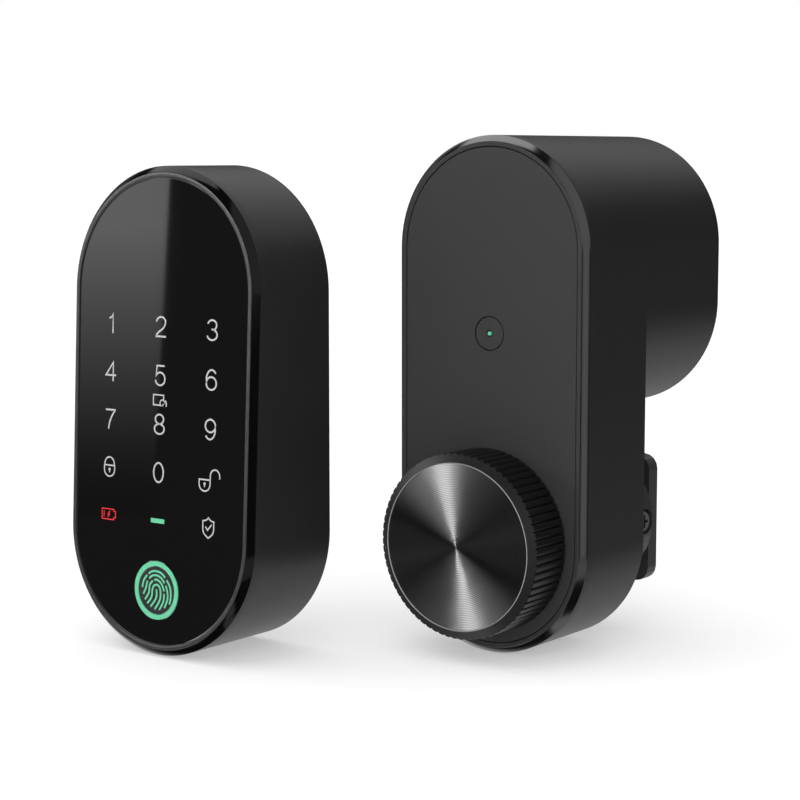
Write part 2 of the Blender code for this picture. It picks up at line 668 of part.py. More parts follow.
def cell_profile(radius, length):
    """Round cell with a raised contact at its +Y end."""
    top = length - CELL_CONTACT_HEIGHT
    return [(radius - CELL_EDGE, 0.0), (radius, CELL_EDGE), (radius, top - CELL_EDGE),
            (radius - CELL_EDGE, top), (CELL_CONTACT_RADIUS, top), (CELL_CONTACT_RADIUS, length)]


def tray_outline(outer, web, floor, roof):
    """C-shaped (y, z) outline: a front web with a floor and a roof behind it."""
    front, back, low, high = outer
    return [(front, low), (back, low), (back, low + floor), (front + web, low + floor),
            (front + web, high - roof), (back, high - roof), (back, high), (front, high)]


def build_drive_unit():
    unit = empty("drive_unit_frame", (0.0, 0.0, 0.0))
    build_drive_front_housing(unit)
    build_drive_front_panel(unit)
    build_drive_back_plate(unit)
    build_cover_screws(unit)
    build_drive_rear_housing(unit)
    build_gear_plate(unit)
    build_motor(unit)
    build_bushings(unit)
    build_drive_electronics(unit)
    build_drive_cells(unit)
    keyholed_cover("drive_battery_cover", DRIVE_WIDTH, REAR_HEIGHT, 0.0, 0.0, DRIVE_STUDS_Z, unit)
    return unit


# ---------------------------------------------------------------- knob, coupler and gears

def ridged_circle(radius, depth):
    """Round outline with RIDGE_COUNT flat-topped ridges."""
    points = []
    pattern = ((0.0, 0.0), (0.22, 1.0), (0.78, 1.0))
    for ridge in range(RIDGE_COUNT):
        for fraction, share in pattern:
            angle = 2 * math.pi * (ridge + fraction) / RIDGE_COUNT
            reach = radius - depth * (1.0 - share)
            points.append((reach * math.cos(angle), reach * math.sin(angle)))
    return points


def build_knob(axis):
    """Knurled grip, thin trim ring and face disc with its hub."""
    count = 3 * RIDGE_COUNT
    grip = [
        (ridged_circle(KNOB_RADIUS, RIDGE_DEPTH), KNOB_BACK_Y),
        (ridged_circle(KNOB_RADIUS, RIDGE_DEPTH), KNOB_FRONT_Y + GRIP_BEVEL),
        (circle(GRIP_INNER, count), KNOB_FRONT_Y + SMALL_EDGE),
        (circle(GRIP_INNER, count), KNOB_BACK_Y),
    ]
    loft("knob_grip", grip, "knob", closed=True, parent=axis)
    trim = [(TRIM_OUTER, KNOB_FRONT_Y + TRIM_DEPTH), (TRIM_OUTER, KNOB_FRONT_Y + SMALL_EDGE),
            (TRIM_OUTER - SMALL_EDGE, KNOB_FRONT_Y), (TRIM_INNER, KNOB_FRONT_Y),
            (TRIM_INNER, KNOB_FRONT_Y + TRIM_DEPTH)]
    turned("knob_trim_ring", trim, "bright", 60, closed=True, parent=axis)
    face_front = KNOB_FRONT_Y + FACE_SINK
    face_back = face_front + FACE_THICK
    bore = SHAFT_RADIUS + GAP
    web = GRIP_INNER - GAP
    face = [(FACE_RADIUS, face_front), (FACE_RADIUS, face_back), (HUB_RADIUS, face_back),
            (HUB_RADIUS, WEB_FRONT_Y), (web, WEB_FRONT_Y), (web, WEB_BACK_Y), (HUB_RADIUS, WEB_BACK_Y),
            (HUB_RADIUS, HUB_BACK_Y), (bore, HUB_BACK_Y), (bore, face_back)]
    turned("knob_face", face, "knob", 60, parent=axis)


def build_shaft(axis):
    """Shaft from the knob's hub to the coupler drum, with the output gear."""
    profile = [(SHAFT_RADIUS, SHAFT_FRONT_Y), (SHAFT_RADIUS, SHAFT_BACK_Y)]
    turned("knob_shaft", profile, "steel", 32, parent=axis)
    teeth = gear(OUTPUT_TEETH, math.pi / 2)
    bore = circle(SHAFT_RADIUS + GAP, len(teeth))
    sections = [(teeth, OUTPUT_FRONT_Y), (teeth, OUTPUT_BACK_Y), (bore, OUTPUT_BACK_Y), (bore, OUTPUT_FRONT_Y)]
    loft("output_gear", sections, "nylon", closed=True, parent=axis)


def build_drum(axis):
    """Coupler drum with the thumb-turn slot, the clamp screw's hole and the shaft's socket."""
    profile = [(DRUM_RADIUS - DRUM_EDGE, DRUM_FRONT_Y), (DRUM_RADIUS, DRUM_FRONT_Y + DRUM_EDGE),
               (DRUM_RADIUS, DRUM_BACK_Y - DRUM_EDGE), (DRUM_RADIUS - DRUM_EDGE, DRUM_BACK_Y)]
    drum = turned("coupler_drum", profile, "dark_plastic", 60, parent=axis)
    slot = box("drum_slot", (SLOT_LEFT, SLOT_FLOOR_Y, -SLOT_HALF_HEIGHT),
               (SLOT_RIGHT, DRUM_BACK_Y + CUT_MARGIN, SLOT_HALF_HEIGHT), None, axis)
    cut(drum, slot)
    socket_outline = circle(SHAFT_RADIUS + GAP, 32)
    socket = plate("drum_socket", socket_outline, DRUM_FRONT_Y - CUT_MARGIN, SOCKET_END_Y, None, axis)
    cut(drum, socket)
    shank = SCREW_RADIUS + SHANK_CLEARANCE
    head = SCREW_HEAD_RADIUS + HEAD_CLEARANCE
    seat = SCREW_HEAD_X - GAP
    steps = [(shank, SLOT_RIGHT - CUT_MARGIN), (shank, seat), (head, seat), (head, DRUM_RADIUS + CUT_MARGIN)]
    hole = turned("drum_screw_hole", steps, None, 24, parent=axis, location=(0.0, SCREW_Y, 0.0))
    turn_to_x(hole)
    cut(drum, hole)
    for index, (x, z) in enumerate(ADAPTER_SCREWS):
        outline = circle(ADAPTER_HOLE_RADIUS, 12, x, z)
        cutter = plate(f"drum_thread_{index + 1}", outline, ADAPTER_HOLE_END_Y, DRUM_BACK_Y + CUT_MARGIN,
                       None, axis)
        cut(drum, cutter)


def build_adapter(axis):
    """Square adapter plate behind the drum, with the thumb-turn window and two screws."""
    full = rounded_box(ADAPTER_WIDTH, ADAPTER_HEIGHT, ADAPTER_CORNER)
    small = rounded_box(ADAPTER_WIDTH - 2 * ADAPTER_EDGE, ADAPTER_HEIGHT - 2 * ADAPTER_EDGE,
                        ADAPTER_CORNER - ADAPTER_EDGE)
    sections = [(full, ADAPTER_FRONT_Y), (full, ADAPTER_BACK_Y - ADAPTER_EDGE), (small, ADAPTER_BACK_Y)]
    adapter = loft("adapter_plate", sections, "dark_plastic", parent=axis)
    window = box("adapter_window", (SLOT_LEFT, ADAPTER_FRONT_Y - CUT_MARGIN, -SLOT_HALF_HEIGHT),
                 (SLOT_RIGHT, ADAPTER_BACK_Y + CUT_MARGIN, SLOT_HALF_HEIGHT), None, axis)
    cut(adapter, window)
    head_front = ADAPTER_BACK_Y - ADAPTER_HEAD_SINK
    for index, (x, z) in enumerate(ADAPTER_SCREWS):
        steps = [(ADAPTER_HOLE_RADIUS, ADAPTER_FRONT_Y - CUT_MARGIN), (ADAPTER_HOLE_RADIUS, head_front - GAP),
                 (ADAPTER_HEAD_HOLE_RADIUS, head_front - GAP),
                 (ADAPTER_HEAD_HOLE_RADIUS, ADAPTER_BACK_Y + CUT_MARGIN)]
        hole = turned(f"adapter_hole_{index + 1}", steps, None, 16, parent=axis, location=(x, 0.0, z))
        cut(adapter, hole)
        profile = [(ADAPTER_SCREW_RADIUS, ADAPTER_SCREW_END_Y), (ADAPTER_SCREW_RADIUS, head_front),
                   (ADAPTER_HEAD_RADIUS, head_front), (ADAPTER_HEAD_RADIUS, head_front + ADAPTER_HEAD_HEIGHT)]
        turned(f"adapter_screw_{index + 1}", profile, "steel", 14, parent=axis, location=(x, 0.0, z))


def build_clamp(axis):
    """Fixed pad, clamp screw and the jaw that it moves."""
    low = -SLOT_HALF_HEIGHT + JAW_END_GAP
    high = SLOT_HALF_HEIGHT - JAW_END_GAP
    front = SLOT_FLOOR_Y + JAW_SIDE_GAP
    back = DRUM_BACK_Y - JAW_SIDE_GAP
    pad_right = SLOT_LEFT + GAP + JAW_PAD_THICK
    box("fixed_jaw_pad", (SLOT_LEFT + GAP, front, low), (pad_right, back, high), "rubber", axis)
    screw_axis = empty("clamp_screw_axis", (0.0, SCREW_Y, 0.0))
    screw_axis.parent = axis
    profile = [(SCREW_RADIUS - SCREW_TIP_EDGE, SCREW_TIP_X), (SCREW_RADIUS, SCREW_TIP_X + SCREW_TIP_EDGE),
               (SCREW_RADIUS, SCREW_HEAD_X), (SCREW_HEAD_RADIUS, SCREW_HEAD_X),
               (SCREW_HEAD_RADIUS, SCREW_END_X - SCREW_HEAD_EDGE),
               (SCREW_HEAD_RADIUS - SCREW_HEAD_EDGE, SCREW_END_X)]
    screw = turned("clamp_screw", profile, "steel", 20, parent=screw_axis)
    recess = plate("clamp_screw_recess", cross(SCREW_RECESS_SIZE, SCREW_RECESS_SLOT),
                   SCREW_END_X - SCREW_RECESS_DEPTH, SCREW_END_X + CUT_MARGIN, None, screw_axis)
    turn_to_x(screw)
    turn_to_x(recess)
    cut(screw, recess)
    jaw_slide = empty("jaw_slide", (JAW_LEFT, SCREW_Y, 0.0))
    jaw_slide.parent = axis
    jaw_low = (0.0, front - SCREW_Y, low)
    jaw_high = (JAW_RIGHT - JAW_LEFT, back - SCREW_Y, high)
    jaw = box("clamp_jaw", jaw_low, jaw_high, "steel", jaw_slide)
    bore_radius = SCREW_RADIUS + BORE_CLEARANCE
    bore = [(bore_radius, JAW_BORE_WALL), (bore_radius, JAW_RIGHT - JAW_LEFT + CUT_MARGIN)]
    bore_cutter = turned("jaw_bore", bore, None, 20, parent=jaw_slide)
    turn_to_x(bore_cutter)
    cut(jaw, bore_cutter)
    pad_low = (-GAP - JAW_PAD_THICK, front - SCREW_Y, low)
    box("clamp_jaw_pad", pad_low, (-GAP, back - SCREW_Y, high), "rubber", jaw_slide)


def build_reduction(unit):
    """Wheel and pinion that turn together on the reduction pin."""
    axis = empty("reduction_axis", (0.0, 0.0, REDUCTION_Z))
    axis.parent = unit
    wheel = gear(WHEEL_TEETH, math.pi / 2)
    bore = circle(PIN_RADIUS + BORE_CLEARANCE, len(wheel))
    sections = [(wheel, WHEEL_FRONT_Y), (wheel, WHEEL_BACK_Y), (bore, WHEEL_BACK_Y), (bore, WHEEL_FRONT_Y)]
    loft("reduction_wheel", sections, "nylon", closed=True, parent=axis)
    front = WHEEL_BACK_Y + GAP
    back = OUTPUT_BACK_Y + GEAR_END_GAP
    pinion = gear(PINION_TEETH, -math.pi / 2 + math.pi / PINION_TEETH)
    bore = circle(PIN_RADIUS + BORE_CLEARANCE, len(pinion))
    sections = [(pinion, front), (pinion, back), (bore, back), (bore, front)]
    loft("reduction_pinion", sections, "brass", closed=True, parent=axis)


def build_motor_pinion(unit):
    """Pinion with the motor's shaft."""
    axis = empty("motor_axis", (0.0, 0.0, MOTOR_Z))
    axis.parent = unit
    pinion = gear(PINION_TEETH, -math.pi / 2 + math.pi / PINION_TEETH)
    shaft = circle(MOTOR_SHAFT_RADIUS, len(pinion))
    sections = [(pinion, WHEEL_FRONT_Y + GAP), (pinion, WHEEL_BACK_Y - GAP),
                (shaft, WHEEL_BACK_Y - GAP), (shaft, GEAR_PLATE_BACK_Y + GAP)]
    loft("motor_pinion", sections, "brass", parent=axis)


def build_button(unit):
    """Round push button with a light pipe in its middle."""
    axis = empty("status_button_slide", (0.0, 0.0, BUTTON_Z))
    axis.parent = unit
    front = FRONT_Y + SMALL_EDGE
    bore = LIGHT_RADIUS + GAP
    profile = [(bore, front), (BUTTON_RADIUS - BUTTON_EDGE, front), (BUTTON_RADIUS, front + BUTTON_EDGE),
               (BUTTON_RADIUS, BUTTON_FLANGE_FRONT_Y), (BUTTON_FLANGE_RADIUS, BUTTON_FLANGE_FRONT_Y),
               (BUTTON_FLANGE_RADIUS, BUTTON_FLANGE_BACK_Y), (BUTTON_STEM_RADIUS, BUTTON_FLANGE_BACK_Y),
               (BUTTON_STEM_RADIUS, BUTTON_STEM_END_Y), (bore, BUTTON_STEM_END_Y)]
    turned("status_button", profile, "panel", 36, closed=True, parent=axis)
    light_pipe = [(LIGHT_RADIUS, front), (LIGHT_RADIUS, LIGHT_END_Y)]
    turned("status_light", light_pipe, "green_light", 16, parent=axis)


def build_knob_assembly(unit):
    axis = empty("knob_axis", (0.0, 0.0, KNOB_Z))
    axis.parent = unit
    build_knob(axis)
    build_shaft(axis)
    build_drum(axis)
    build_adapter(axis)
    build_clamp(axis)


# ---------------------------------------------------------------- keypad unit


def keypad_outline(inset):
    return stadium(KEYPAD_WIDTH, KEYPAD_HEIGHT, inset, KEYPAD_MID_Z)


def build_keypad_housing(unit):
    """Wedge-shaped tube with a chamfered rim, a glass seat and the rear recess."""
    opening = CHAMFER + RIM_FLAT
    seat = GLASS_SEAT
    sections = [
        (keypad_outline(0.0), KEYPAD_DEPTH - RECESS_RIM - REAR_BEVEL),
        (keypad_outline(0.0), CHAMFER, True),
        (keypad_outline(CHAMFER), 0.0, True),
        (keypad_outline(opening), 0.0, True),
        (keypad_outline(opening), seat, True),
        (keypad_outline(opening + LEDGE_WIDTH), seat, True),
        (keypad_outline(opening + LEDGE_WIDTH), seat + LEDGE_THICK, True),
        (keypad_outline(WALL), seat + LEDGE_THICK, True),
    ]
    recess = rear_recess(KEYPAD_WIDTH, KEYPAD_HEIGHT, KEYPAD_MID_Z, KEYPAD_DEPTH)
    sections += list(reversed(recess))
    loft("keypad_housing", sections, "housing", closed=True, lean=KEYPAD_LEAN, parent=unit)


def build_keypad_glass(unit):
    """Touch glass with a round hole for the fingerprint sensor."""
    outline = keypad_outline(CHAMFER + RIM_FLAT + GAP)
    glass = plate("keypad_glass", outline, GLASS_FRONT, GLASS_BACK, "glass", unit, lean=KEYPAD_LEAN)
    hole = circle(SENSOR_HOLE_RADIUS, 48, 0.0, SENSOR_Z)
    cutter = plate("glass_sensor_hole", hole, GLASS_FRONT - CUT_MARGIN, GLASS_BACK + CUT_MARGIN, None, unit,
                   lean=KEYPAD_LEAN)
    cut(glass, cutter)


def build_fingerprint(unit):
    """Sensor disc with a light ring around it."""
    outer = circle(RING_OUTER, 48, 0.0, SENSOR_Z)
    inner = circle(RING_INNER, 48, 0.0, SENSOR_Z)
    sections = [(outer, GLASS_FRONT, True), (outer, RING_BACK, True),
                (inner, RING_BACK, True), (inner, GLASS_FRONT, True)]
    loft("fingerprint_light_ring", sections, "green_light", closed=True, lean=KEYPAD_LEAN, parent=unit)
    disc = circle(SENSOR_RADIUS, 48, 0.0, SENSOR_Z)
    plate("fingerprint_sensor", disc, GLASS_FRONT + SMALL_EDGE, SENSOR_BACK, "sensor", unit, lean=KEYPAD_LEAN)


def build_keypad_electronics(unit):
    """Touch board behind the glass, status light bar and the main board."""
    outline = stadium(KEYPAD_WIDTH, KEYPAD_HEIGHT, TOUCH_BOARD_INSET, KEYPAD_MID_Z, HIDDEN_ARC_STEPS)
    plate("keypad_touch_board", outline, TOUCH_BOARD_FRONT, TOUCH_BOARD_BACK, "board", unit, lean=KEYPAD_LEAN)
    bar = rounded_box(STATUS_BAR_WIDTH, STATUS_BAR_HEIGHT, STATUS_BAR_CORNER, 0.0, STATUS_BAR_Z, 4)
    plate("status_light_bar", bar, STATUS_BAR_FRONT, STATUS_BAR_BACK, "green_light", unit, lean=KEYPAD_LEAN)
    main_outline = rounded_box(MAIN_BOARD_WIDTH, MAIN_BOARD_HEIGHT, MAIN_BOARD_CORNER, 0.0, MAIN_BOARD_Z)
    plate("keypad_main_board", main_outline, MAIN_BOARD_FRONT, MAIN_BOARD_BACK, "board", unit)
    ring = [(BUZZER_RADIUS, BUZZER_FRONT), (BUZZER_RADIUS, BUZZER_BACK),
            (BUZZER_HOLE_RADIUS, BUZZER_BACK), (BUZZER_HOLE_RADIUS, BUZZER_FRONT)]
    turned("keypad_buzzer", ring, "dark_plastic", 20, closed=True, parent=unit, location=(0.0, 0.0, BUZZER_Z))


def build_keypad_cells(unit):
    """Two short cells in a tray."""
    for number, side in enumerate((-1, 1)):
        place = (side * SHORT_CELL_X, SHORT_CELL_Y, SHORT_CELL_BOTTOM_Z)
        profile = cell_profile(SHORT_CELL_RADIUS, SHORT_CELL_LENGTH)
        cell = turned(f"keypad_cell_{number + 1}", profile, "cell", 16, parent=unit, location=place)
        cell.data.transform(Matrix.Rotation(math.pi / 2, 4, "X"))
    outer = (SHORT_TRAY_FRONT, SHORT_TRAY_BACK, SHORT_CELL_BOTTOM_Z - SHORT_TRAY_MARGIN,
             SHORT_CELL_BOTTOM_Z + SHORT_CELL_LENGTH + SHORT_TRAY_MARGIN)
    tray = tray_outline(outer, SHORT_TRAY_WEB, SHORT_TRAY_END, SHORT_TRAY_END)
    profile_along_x("keypad_cell_tray", tray, -SHORT_TRAY_HALF_WIDTH, SHORT_TRAY_HALF_WIDTH, "dark_plastic",
                    unit)


def build_keypad_unit():
    unit = empty("keypad_unit_frame", (KEYPAD_X, KEYPAD_FRONT_Y, FLOOR_Z))
    build_keypad_housing(unit)
    build_keypad_glass(unit)
    build_fingerprint(unit)
    build_keypad_electronics(unit)
    build_keypad_cells(unit)
    keyholed_cover("keypad_rear_cover", KEYPAD_WIDTH, KEYPAD_HEIGHT, KEYPAD_MID_Z, KEYPAD_DEPTH,
                   KEYPAD_STUDS_Z, unit)


def main():
    clear_scene()
    unit = build_drive_unit()
    build_knob_assembly(unit)
    build_reduction(unit)
    build_motor_pinion(unit)
    build_button(unit)
    door_plate("drive_door", DRIVE_PLATE_WIDTH, DRIVE_PLATE_HEIGHT, 0.0, 0.0, DRIVE_STUDS_Z, None)
    build_keypad_unit()
    keypad_place = (KEYPAD_X, KEYPAD_FRONT_Y, FLOOR_Z)
    door_plate("keypad_door", KEYPAD_PLATE_WIDTH, KEYPAD_PLATE_HEIGHT, KEYPAD_MID_Z, KEYPAD_DEPTH,
               KEYPAD_STUDS_Z, None, keypad_place)


main()
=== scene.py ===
"""Looks of the keypad smart lock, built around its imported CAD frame."""
import json
import math

import bmesh
import bpy
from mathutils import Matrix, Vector

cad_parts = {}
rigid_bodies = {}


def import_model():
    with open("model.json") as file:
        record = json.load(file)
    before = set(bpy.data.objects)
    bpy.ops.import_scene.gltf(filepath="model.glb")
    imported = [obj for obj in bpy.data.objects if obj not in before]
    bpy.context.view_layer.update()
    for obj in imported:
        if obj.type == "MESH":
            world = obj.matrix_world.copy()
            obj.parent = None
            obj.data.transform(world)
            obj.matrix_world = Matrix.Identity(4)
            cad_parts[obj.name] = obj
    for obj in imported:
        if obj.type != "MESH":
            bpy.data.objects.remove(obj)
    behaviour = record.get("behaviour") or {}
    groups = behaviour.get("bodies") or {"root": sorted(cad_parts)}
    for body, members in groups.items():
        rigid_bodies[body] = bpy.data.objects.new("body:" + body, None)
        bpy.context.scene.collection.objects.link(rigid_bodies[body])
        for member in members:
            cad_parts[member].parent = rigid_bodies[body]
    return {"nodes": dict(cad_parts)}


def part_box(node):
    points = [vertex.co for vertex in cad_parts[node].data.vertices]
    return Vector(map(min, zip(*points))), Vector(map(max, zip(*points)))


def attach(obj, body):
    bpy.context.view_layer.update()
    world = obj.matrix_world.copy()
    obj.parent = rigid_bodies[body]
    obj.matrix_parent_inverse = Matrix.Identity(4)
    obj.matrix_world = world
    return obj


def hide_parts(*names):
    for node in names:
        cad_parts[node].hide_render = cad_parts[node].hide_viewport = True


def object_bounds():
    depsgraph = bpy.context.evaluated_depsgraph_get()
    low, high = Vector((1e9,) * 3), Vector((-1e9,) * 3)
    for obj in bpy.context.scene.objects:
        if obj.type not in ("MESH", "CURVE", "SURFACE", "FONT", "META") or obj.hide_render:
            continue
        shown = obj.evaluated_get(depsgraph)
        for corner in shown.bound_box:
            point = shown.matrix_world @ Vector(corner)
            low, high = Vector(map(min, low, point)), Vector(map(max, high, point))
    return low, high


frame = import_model()
cad_low, cad_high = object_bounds()
keypad_low, keypad_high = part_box("keypad_housing")

MM = 0.001

# Sizes that the shells share with the CAD housings.
WALL = 2.2 * MM
CHAMFER = 1.7 * MM
RIM_FLAT = 1.2 * MM
SEAT_DEPTH = 2.1 * MM
LEDGE_WIDTH = 1.6 * MM
LEDGE_THICK = 1.2 * MM
REAR_BEVEL = 0.6 * MM
RECESS_RIM = 1.0 * MM
RECESS_DEPTH = 4.0 * MM
FLANGE_INSET = 4.0 * MM
FLANGE_BACK = 6.0 * MM
KEYPAD_LEAN = 0.047
GLASS_SINK = 0.25 * MM
KEYPAD_SEAT_DEPTH = 1.9 * MM
EDGE_ROUND = 0.14 * MM
HAIRLINE = 0.004 * MM
SENSOR_GAP = 0.2 * MM

# Outline points and shading: steps round a stadium's end, points on the round pieces, sharp edges.
ARC_STEPS = 64
DISC_POINTS = 256
TRIM_POINTS = 192
DOT_POINTS = 32
SHARP_DEGREES = 30

# Keypad glass.
GLASS_THICK = 1.45 * MM
GLASS_EDGE = 0.18 * MM

# Knob: ridged grip, spun disc, bright ring between them.
RIDGE_COUNT = 72
RIDGE_DEPTH = 0.5 * MM
RIDGE_SAMPLES = 10
RIDGE_SHARPNESS = 5
GRIP_BEVEL = 1.1 * MM
GRIP_GAP = 0.15 * MM
GRIP_REAR_EDGE = 0.3 * MM
GRIP_REAR_SHRINK = 0.25 * MM
DISC_GAP = 0.06 * MM
DISC_THICK = 2.0 * MM
TRIM_WIDTH = 0.14 * MM
TRIM_EDGE = 0.05 * MM
RING_SPACING = 0.46 * MM
WAVE_PERIOD = 2 * math.pi / 20.0
LIT_SHARE_OF_PIPE = 0.7

# Legends, in millimetres: row heights above the keypad's foot, column pitch, line widths.
LEGEND_ROWS = (87.8, 74.9, 62.0, 49.15, 36.25)
CARD_ICON_ROW = 68.4
LEGEND_COLUMN = 18.0
DIGIT_STROKE = 0.47
ICON_STROKE = 0.39
CARD_ICON_STROKE = 0.35
BATTERY_STROKE = 0.25
MARK_STROKE = 0.54
STATUS_BAR_HALF = 2.4
STATUS_BAR_STROKE = 1.2
MITRE_LIMIT = 0.45
SHORTEST_STEP = 0.02
SAME_POINT = 1e-6
PRINT_RAISE = 0.02 * MM
PRINT_SUNK = 0.04 * MM

# Camera: degrees round from the front, degrees looking down, aim from the middle of the CAD box.
CAMERA_AZIMUTH = 36.63
CAMERA_DOWN = 6.74
CAMERA_DISTANCE = 0.60
CAMERA_AIM_SHIFT = (-12.20 * MM, 17.66 * MM, -6.50 * MM)
CAMERA_CLIP = 0.01
FOCAL_LENGTH = 93.54
SENSOR_WIDTH = 36.0

# Studio floor and lamps.
FLOOR_REACH = 30.0
FLOOR_DROP = 0.3 * MM
FLOOR_COLOUR = (0.62, 0.62, 0.62)
FLOOR_GLOW = 0.40
SUN_DEGREES = 60
SUNS = (("top_sun", 0.7, (0.25, 0.35, -1.0)), ("front_sun", 1.5, (-0.5, 0.8, -0.2)))

# Softbox mirrored by the keypad's glass: near edge from the glass's middle, the way across, then
# its extent and its fade from dark to bright along its height.
SOFTBOX_RADIANCE = 2.1
SOFTBOX_SHIFT = Vector((-0.48076, -0.51544, -0.0016))
SOFTBOX_ACROSS = Vector((-0.7246, 0.6892, 0.0))
SOFTBOX_WIDTH = 0.45
SOFTBOX_BOTTOM = -0.10
SOFTBOX_TOP = 0.42
SOFTBOX_DARK_Z = -0.091
SOFTBOX_BRIGHT_Z = 0.074
SOFTBOX_FADE_POWER = 1.75

# Narrow card mirrored by the drive unit's chamfer: its direction from the unit, distance and extent.
SIDE_CARD_RADIANCE = 0.32
SIDE_CARD_WAY = (0.852, -0.523)
SIDE_CARD_REACH = 0.40
SIDE_CARD_HALF = 0.06
SIDE_CARD_BOTTOM = -0.17
SIDE_CARD_TOP = 0.15

# Panels of the reflected studio: brightness, limits of the direction's x, y and z parts, softness.
STUDIO_PANELS = (
    (1.12, (None, 0.16), (0.35, None), (0.42, None), 0.13),
    (0.72, (0.16, None), (0.35, None), (0.44, None), 0.12),
    (38.0, (-0.70, -0.583), (None, -0.25), (0.115, 0.25), 0.02),
    (1.40, (None, -0.06), (-0.30, 0.30), (0.62, None), 0.04),
    (0.37, (0.20, None), (None, 0.0), (0.02, None), 0.04),
    (0.30, (0.30, None), (None, 0.0), (-0.50, -0.26), 0.03),
    (0.50, (0.16, 0.50), (None, 0.0), (None, -0.87), 0.03),
    (0.60, (0.20, 0.37), (None, -0.42), (-0.87, -0.70), 0.03),
    (0.17, (None, -0.84), (-0.6, None), (-0.35, 0.40), 0.06),
    (0.22, (0.0, 0.45), (None, -0.85), (-0.25, 0.05), 0.06),
    (1.10, (None, -0.22), (None, -0.30), (None, -0.42), 0.05),
    (0.92, (None, None), (0.20, None), (None, -0.29), 0.20),
)
STUDIO_BASE = 0.02
DOME_LOW = 0.55
DOME_HIGH = 1.25
DOME_LOW_Z = -0.1
DOME_HIGH_Z = 0.9


# ---------------------------------------------------------------- outlines and meshes

def stadium(width, height, inset, steps=ARC_STEPS):
    """Upright stadium outline about its own centre, as (x, z) points."""
    radius = width / 2 - inset
    straight = (height - width) / 2
    points = []
    for start, centre_z in ((0.0, straight), (math.pi, -straight)):
        for step in range(steps + 1):
            angle = start + math.pi * step / steps
            points.append((radius * math.cos(angle), centre_z + radius * math.sin(angle)))
    return points


def circle(radius, count):
    """Circle about its own centre, as (x, z) points."""
    return [(radius * math.cos(2 * math.pi * i / count), radius * math.sin(2 * math.pi * i / count))
            for i in range(count)]


def new_object(name, builder, materials):
    """Link a bmesh as a smooth-shaded object."""
    bmesh.ops.recalc_face_normals(builder, faces=builder.faces)
    mesh = bpy.data.meshes.new(name)
    builder.to_mesh(mesh)
    builder.free()
    for material in materials:
        mesh.materials.append(material)
    mesh.shade_smooth()
    mesh.set_sharp_from_angle(angle=math.radians(SHARP_DEGREES))
    item = bpy.data.objects.new(name, mesh)
    bpy.context.collection.objects.link(item)
    return item


def loft(name, sections, materials, bands=None, closed=True, place=(0, 0, 0), lean=0.0, lean_z=0.0):
    """Solid through sections of (outline, y, leans); bands gives each section's material index."""
    builder = bmesh.new()
    rings = []
    for outline, depth, leans in sections:
        ring = []
        for x, z in outline:
            height = z + place[2]
            slope = lean * (height - lean_z) if leans else 0.0
            ring.append(builder.verts.new((x + place[0], depth + slope + place[1], height)))
        rings.append(ring)
    pairs = list(zip(rings, rings[1:]))
    if closed:
        pairs.append((rings[-1], rings[0]))
    else:
        builder.faces.new(rings[0])
        last = builder.faces.new(rings[-1])
        last.material_index = bands[-1] if bands else 0
    for band, (first, second) in enumerate(pairs):
        count = len(first)
        for index in range(count):
            following = (index + 1) % count
            face = builder.faces.new((first[index], first[following], second[following], second[index]))
            face.material_index = bands[band] if bands else 0
    return new_object(name, builder, materials)


def rounded(path, corners, radius):
    """Round the listed corners of an (inset, depth) path with two short cuts each."""
    result = []
    for index, point in enumerate(path):
        if index not in corners:
            result.append(point)
            continue
        here = Vector(point)
        before = Vector(path[index - 1]) - here
        after = Vector(path[index + 1]) - here
        start = here + before.normalized() * radius
        end = here + after.normalized() * radius
        middle = (start + end) / 4 + here / 2
        result += [tuple(start), tuple(middle), tuple(end)]
    return result


# ---------------------------------------------------------------- materials

def principled(name, colour, roughness, metallic=0.0, specular=0.5):
    """Principled material whose constants sit on the shader's own sockets."""
    material = bpy.data.materials.new(name)
    material.use_nodes = True
    shader = material.node_tree.nodes["Principled BSDF"]
    shader.inputs["Base Color"].default_value = (*colour, 1.0)
    shader.inputs["Roughness"].default_value = roughness
    shader.inputs["Metallic"].default_value = metallic
    shader.inputs["Specular IOR Level"].default_value = specular
    return material, material.node_tree, shader


def object_coordinates(tree):
    """Coordinates in metres from the object's own origin."""
    return tree.nodes.new("ShaderNodeTexCoord").outputs["Object"]


def noise(tree, scale, detail=3.0, roughness=0.55, stretch=None):
    """Noise over object coordinates, in cells per metre."""
    texture = tree.nodes.new("ShaderNodeTexNoise")
    texture.inputs["Scale"].default_value = scale
    texture.inputs["Detail"].default_value = detail
    texture.inputs["Roughness"].default_value = roughness
    source = object_coordinates(tree)
    if stretch:
        mapping = tree.nodes.new("ShaderNodeMapping")
        mapping.inputs["Scale"].default_value = stretch
        tree.links.new(source, mapping.inputs["Vector"])
        source = mapping.outputs["Vector"]
    tree.links.new(source, texture.inputs["Vector"])
    return texture.outputs["Fac"]


def spread(tree, value, low, high):
    """Map a 0..1 value to low..high."""
    node = tree.nodes.new("ShaderNodeMapRange")
    node.inputs["To Min"].default_value = low
    node.inputs["To Max"].default_value = high
    tree.links.new(value, node.inputs["Value"])
    return node.outputs["Result"]


def tint(tree, value, dark, light):
    """Blend two colours by a 0..1 value."""
    node = tree.nodes.new("ShaderNodeMix")
    node.data_type = "RGBA"
    node.inputs["A"].default_value = (*dark, 1.0)
    node.inputs["B"].default_value = (*light, 1.0)
    tree.links.new(value, node.inputs["Factor"])
    return node.outputs["Result"]


def bump(tree, shader, height, distance, strength=1.0):
    """Feed a height into the shader's normal."""
    node = tree.nodes.new("ShaderNodeBump")
    node.inputs["Distance"].default_value = distance
    node.inputs["Strength"].default_value = strength
    tree.links.new(height, node.inputs["Height"])
    tree.links.new(node.outputs["Normal"], shader.inputs["Normal"])


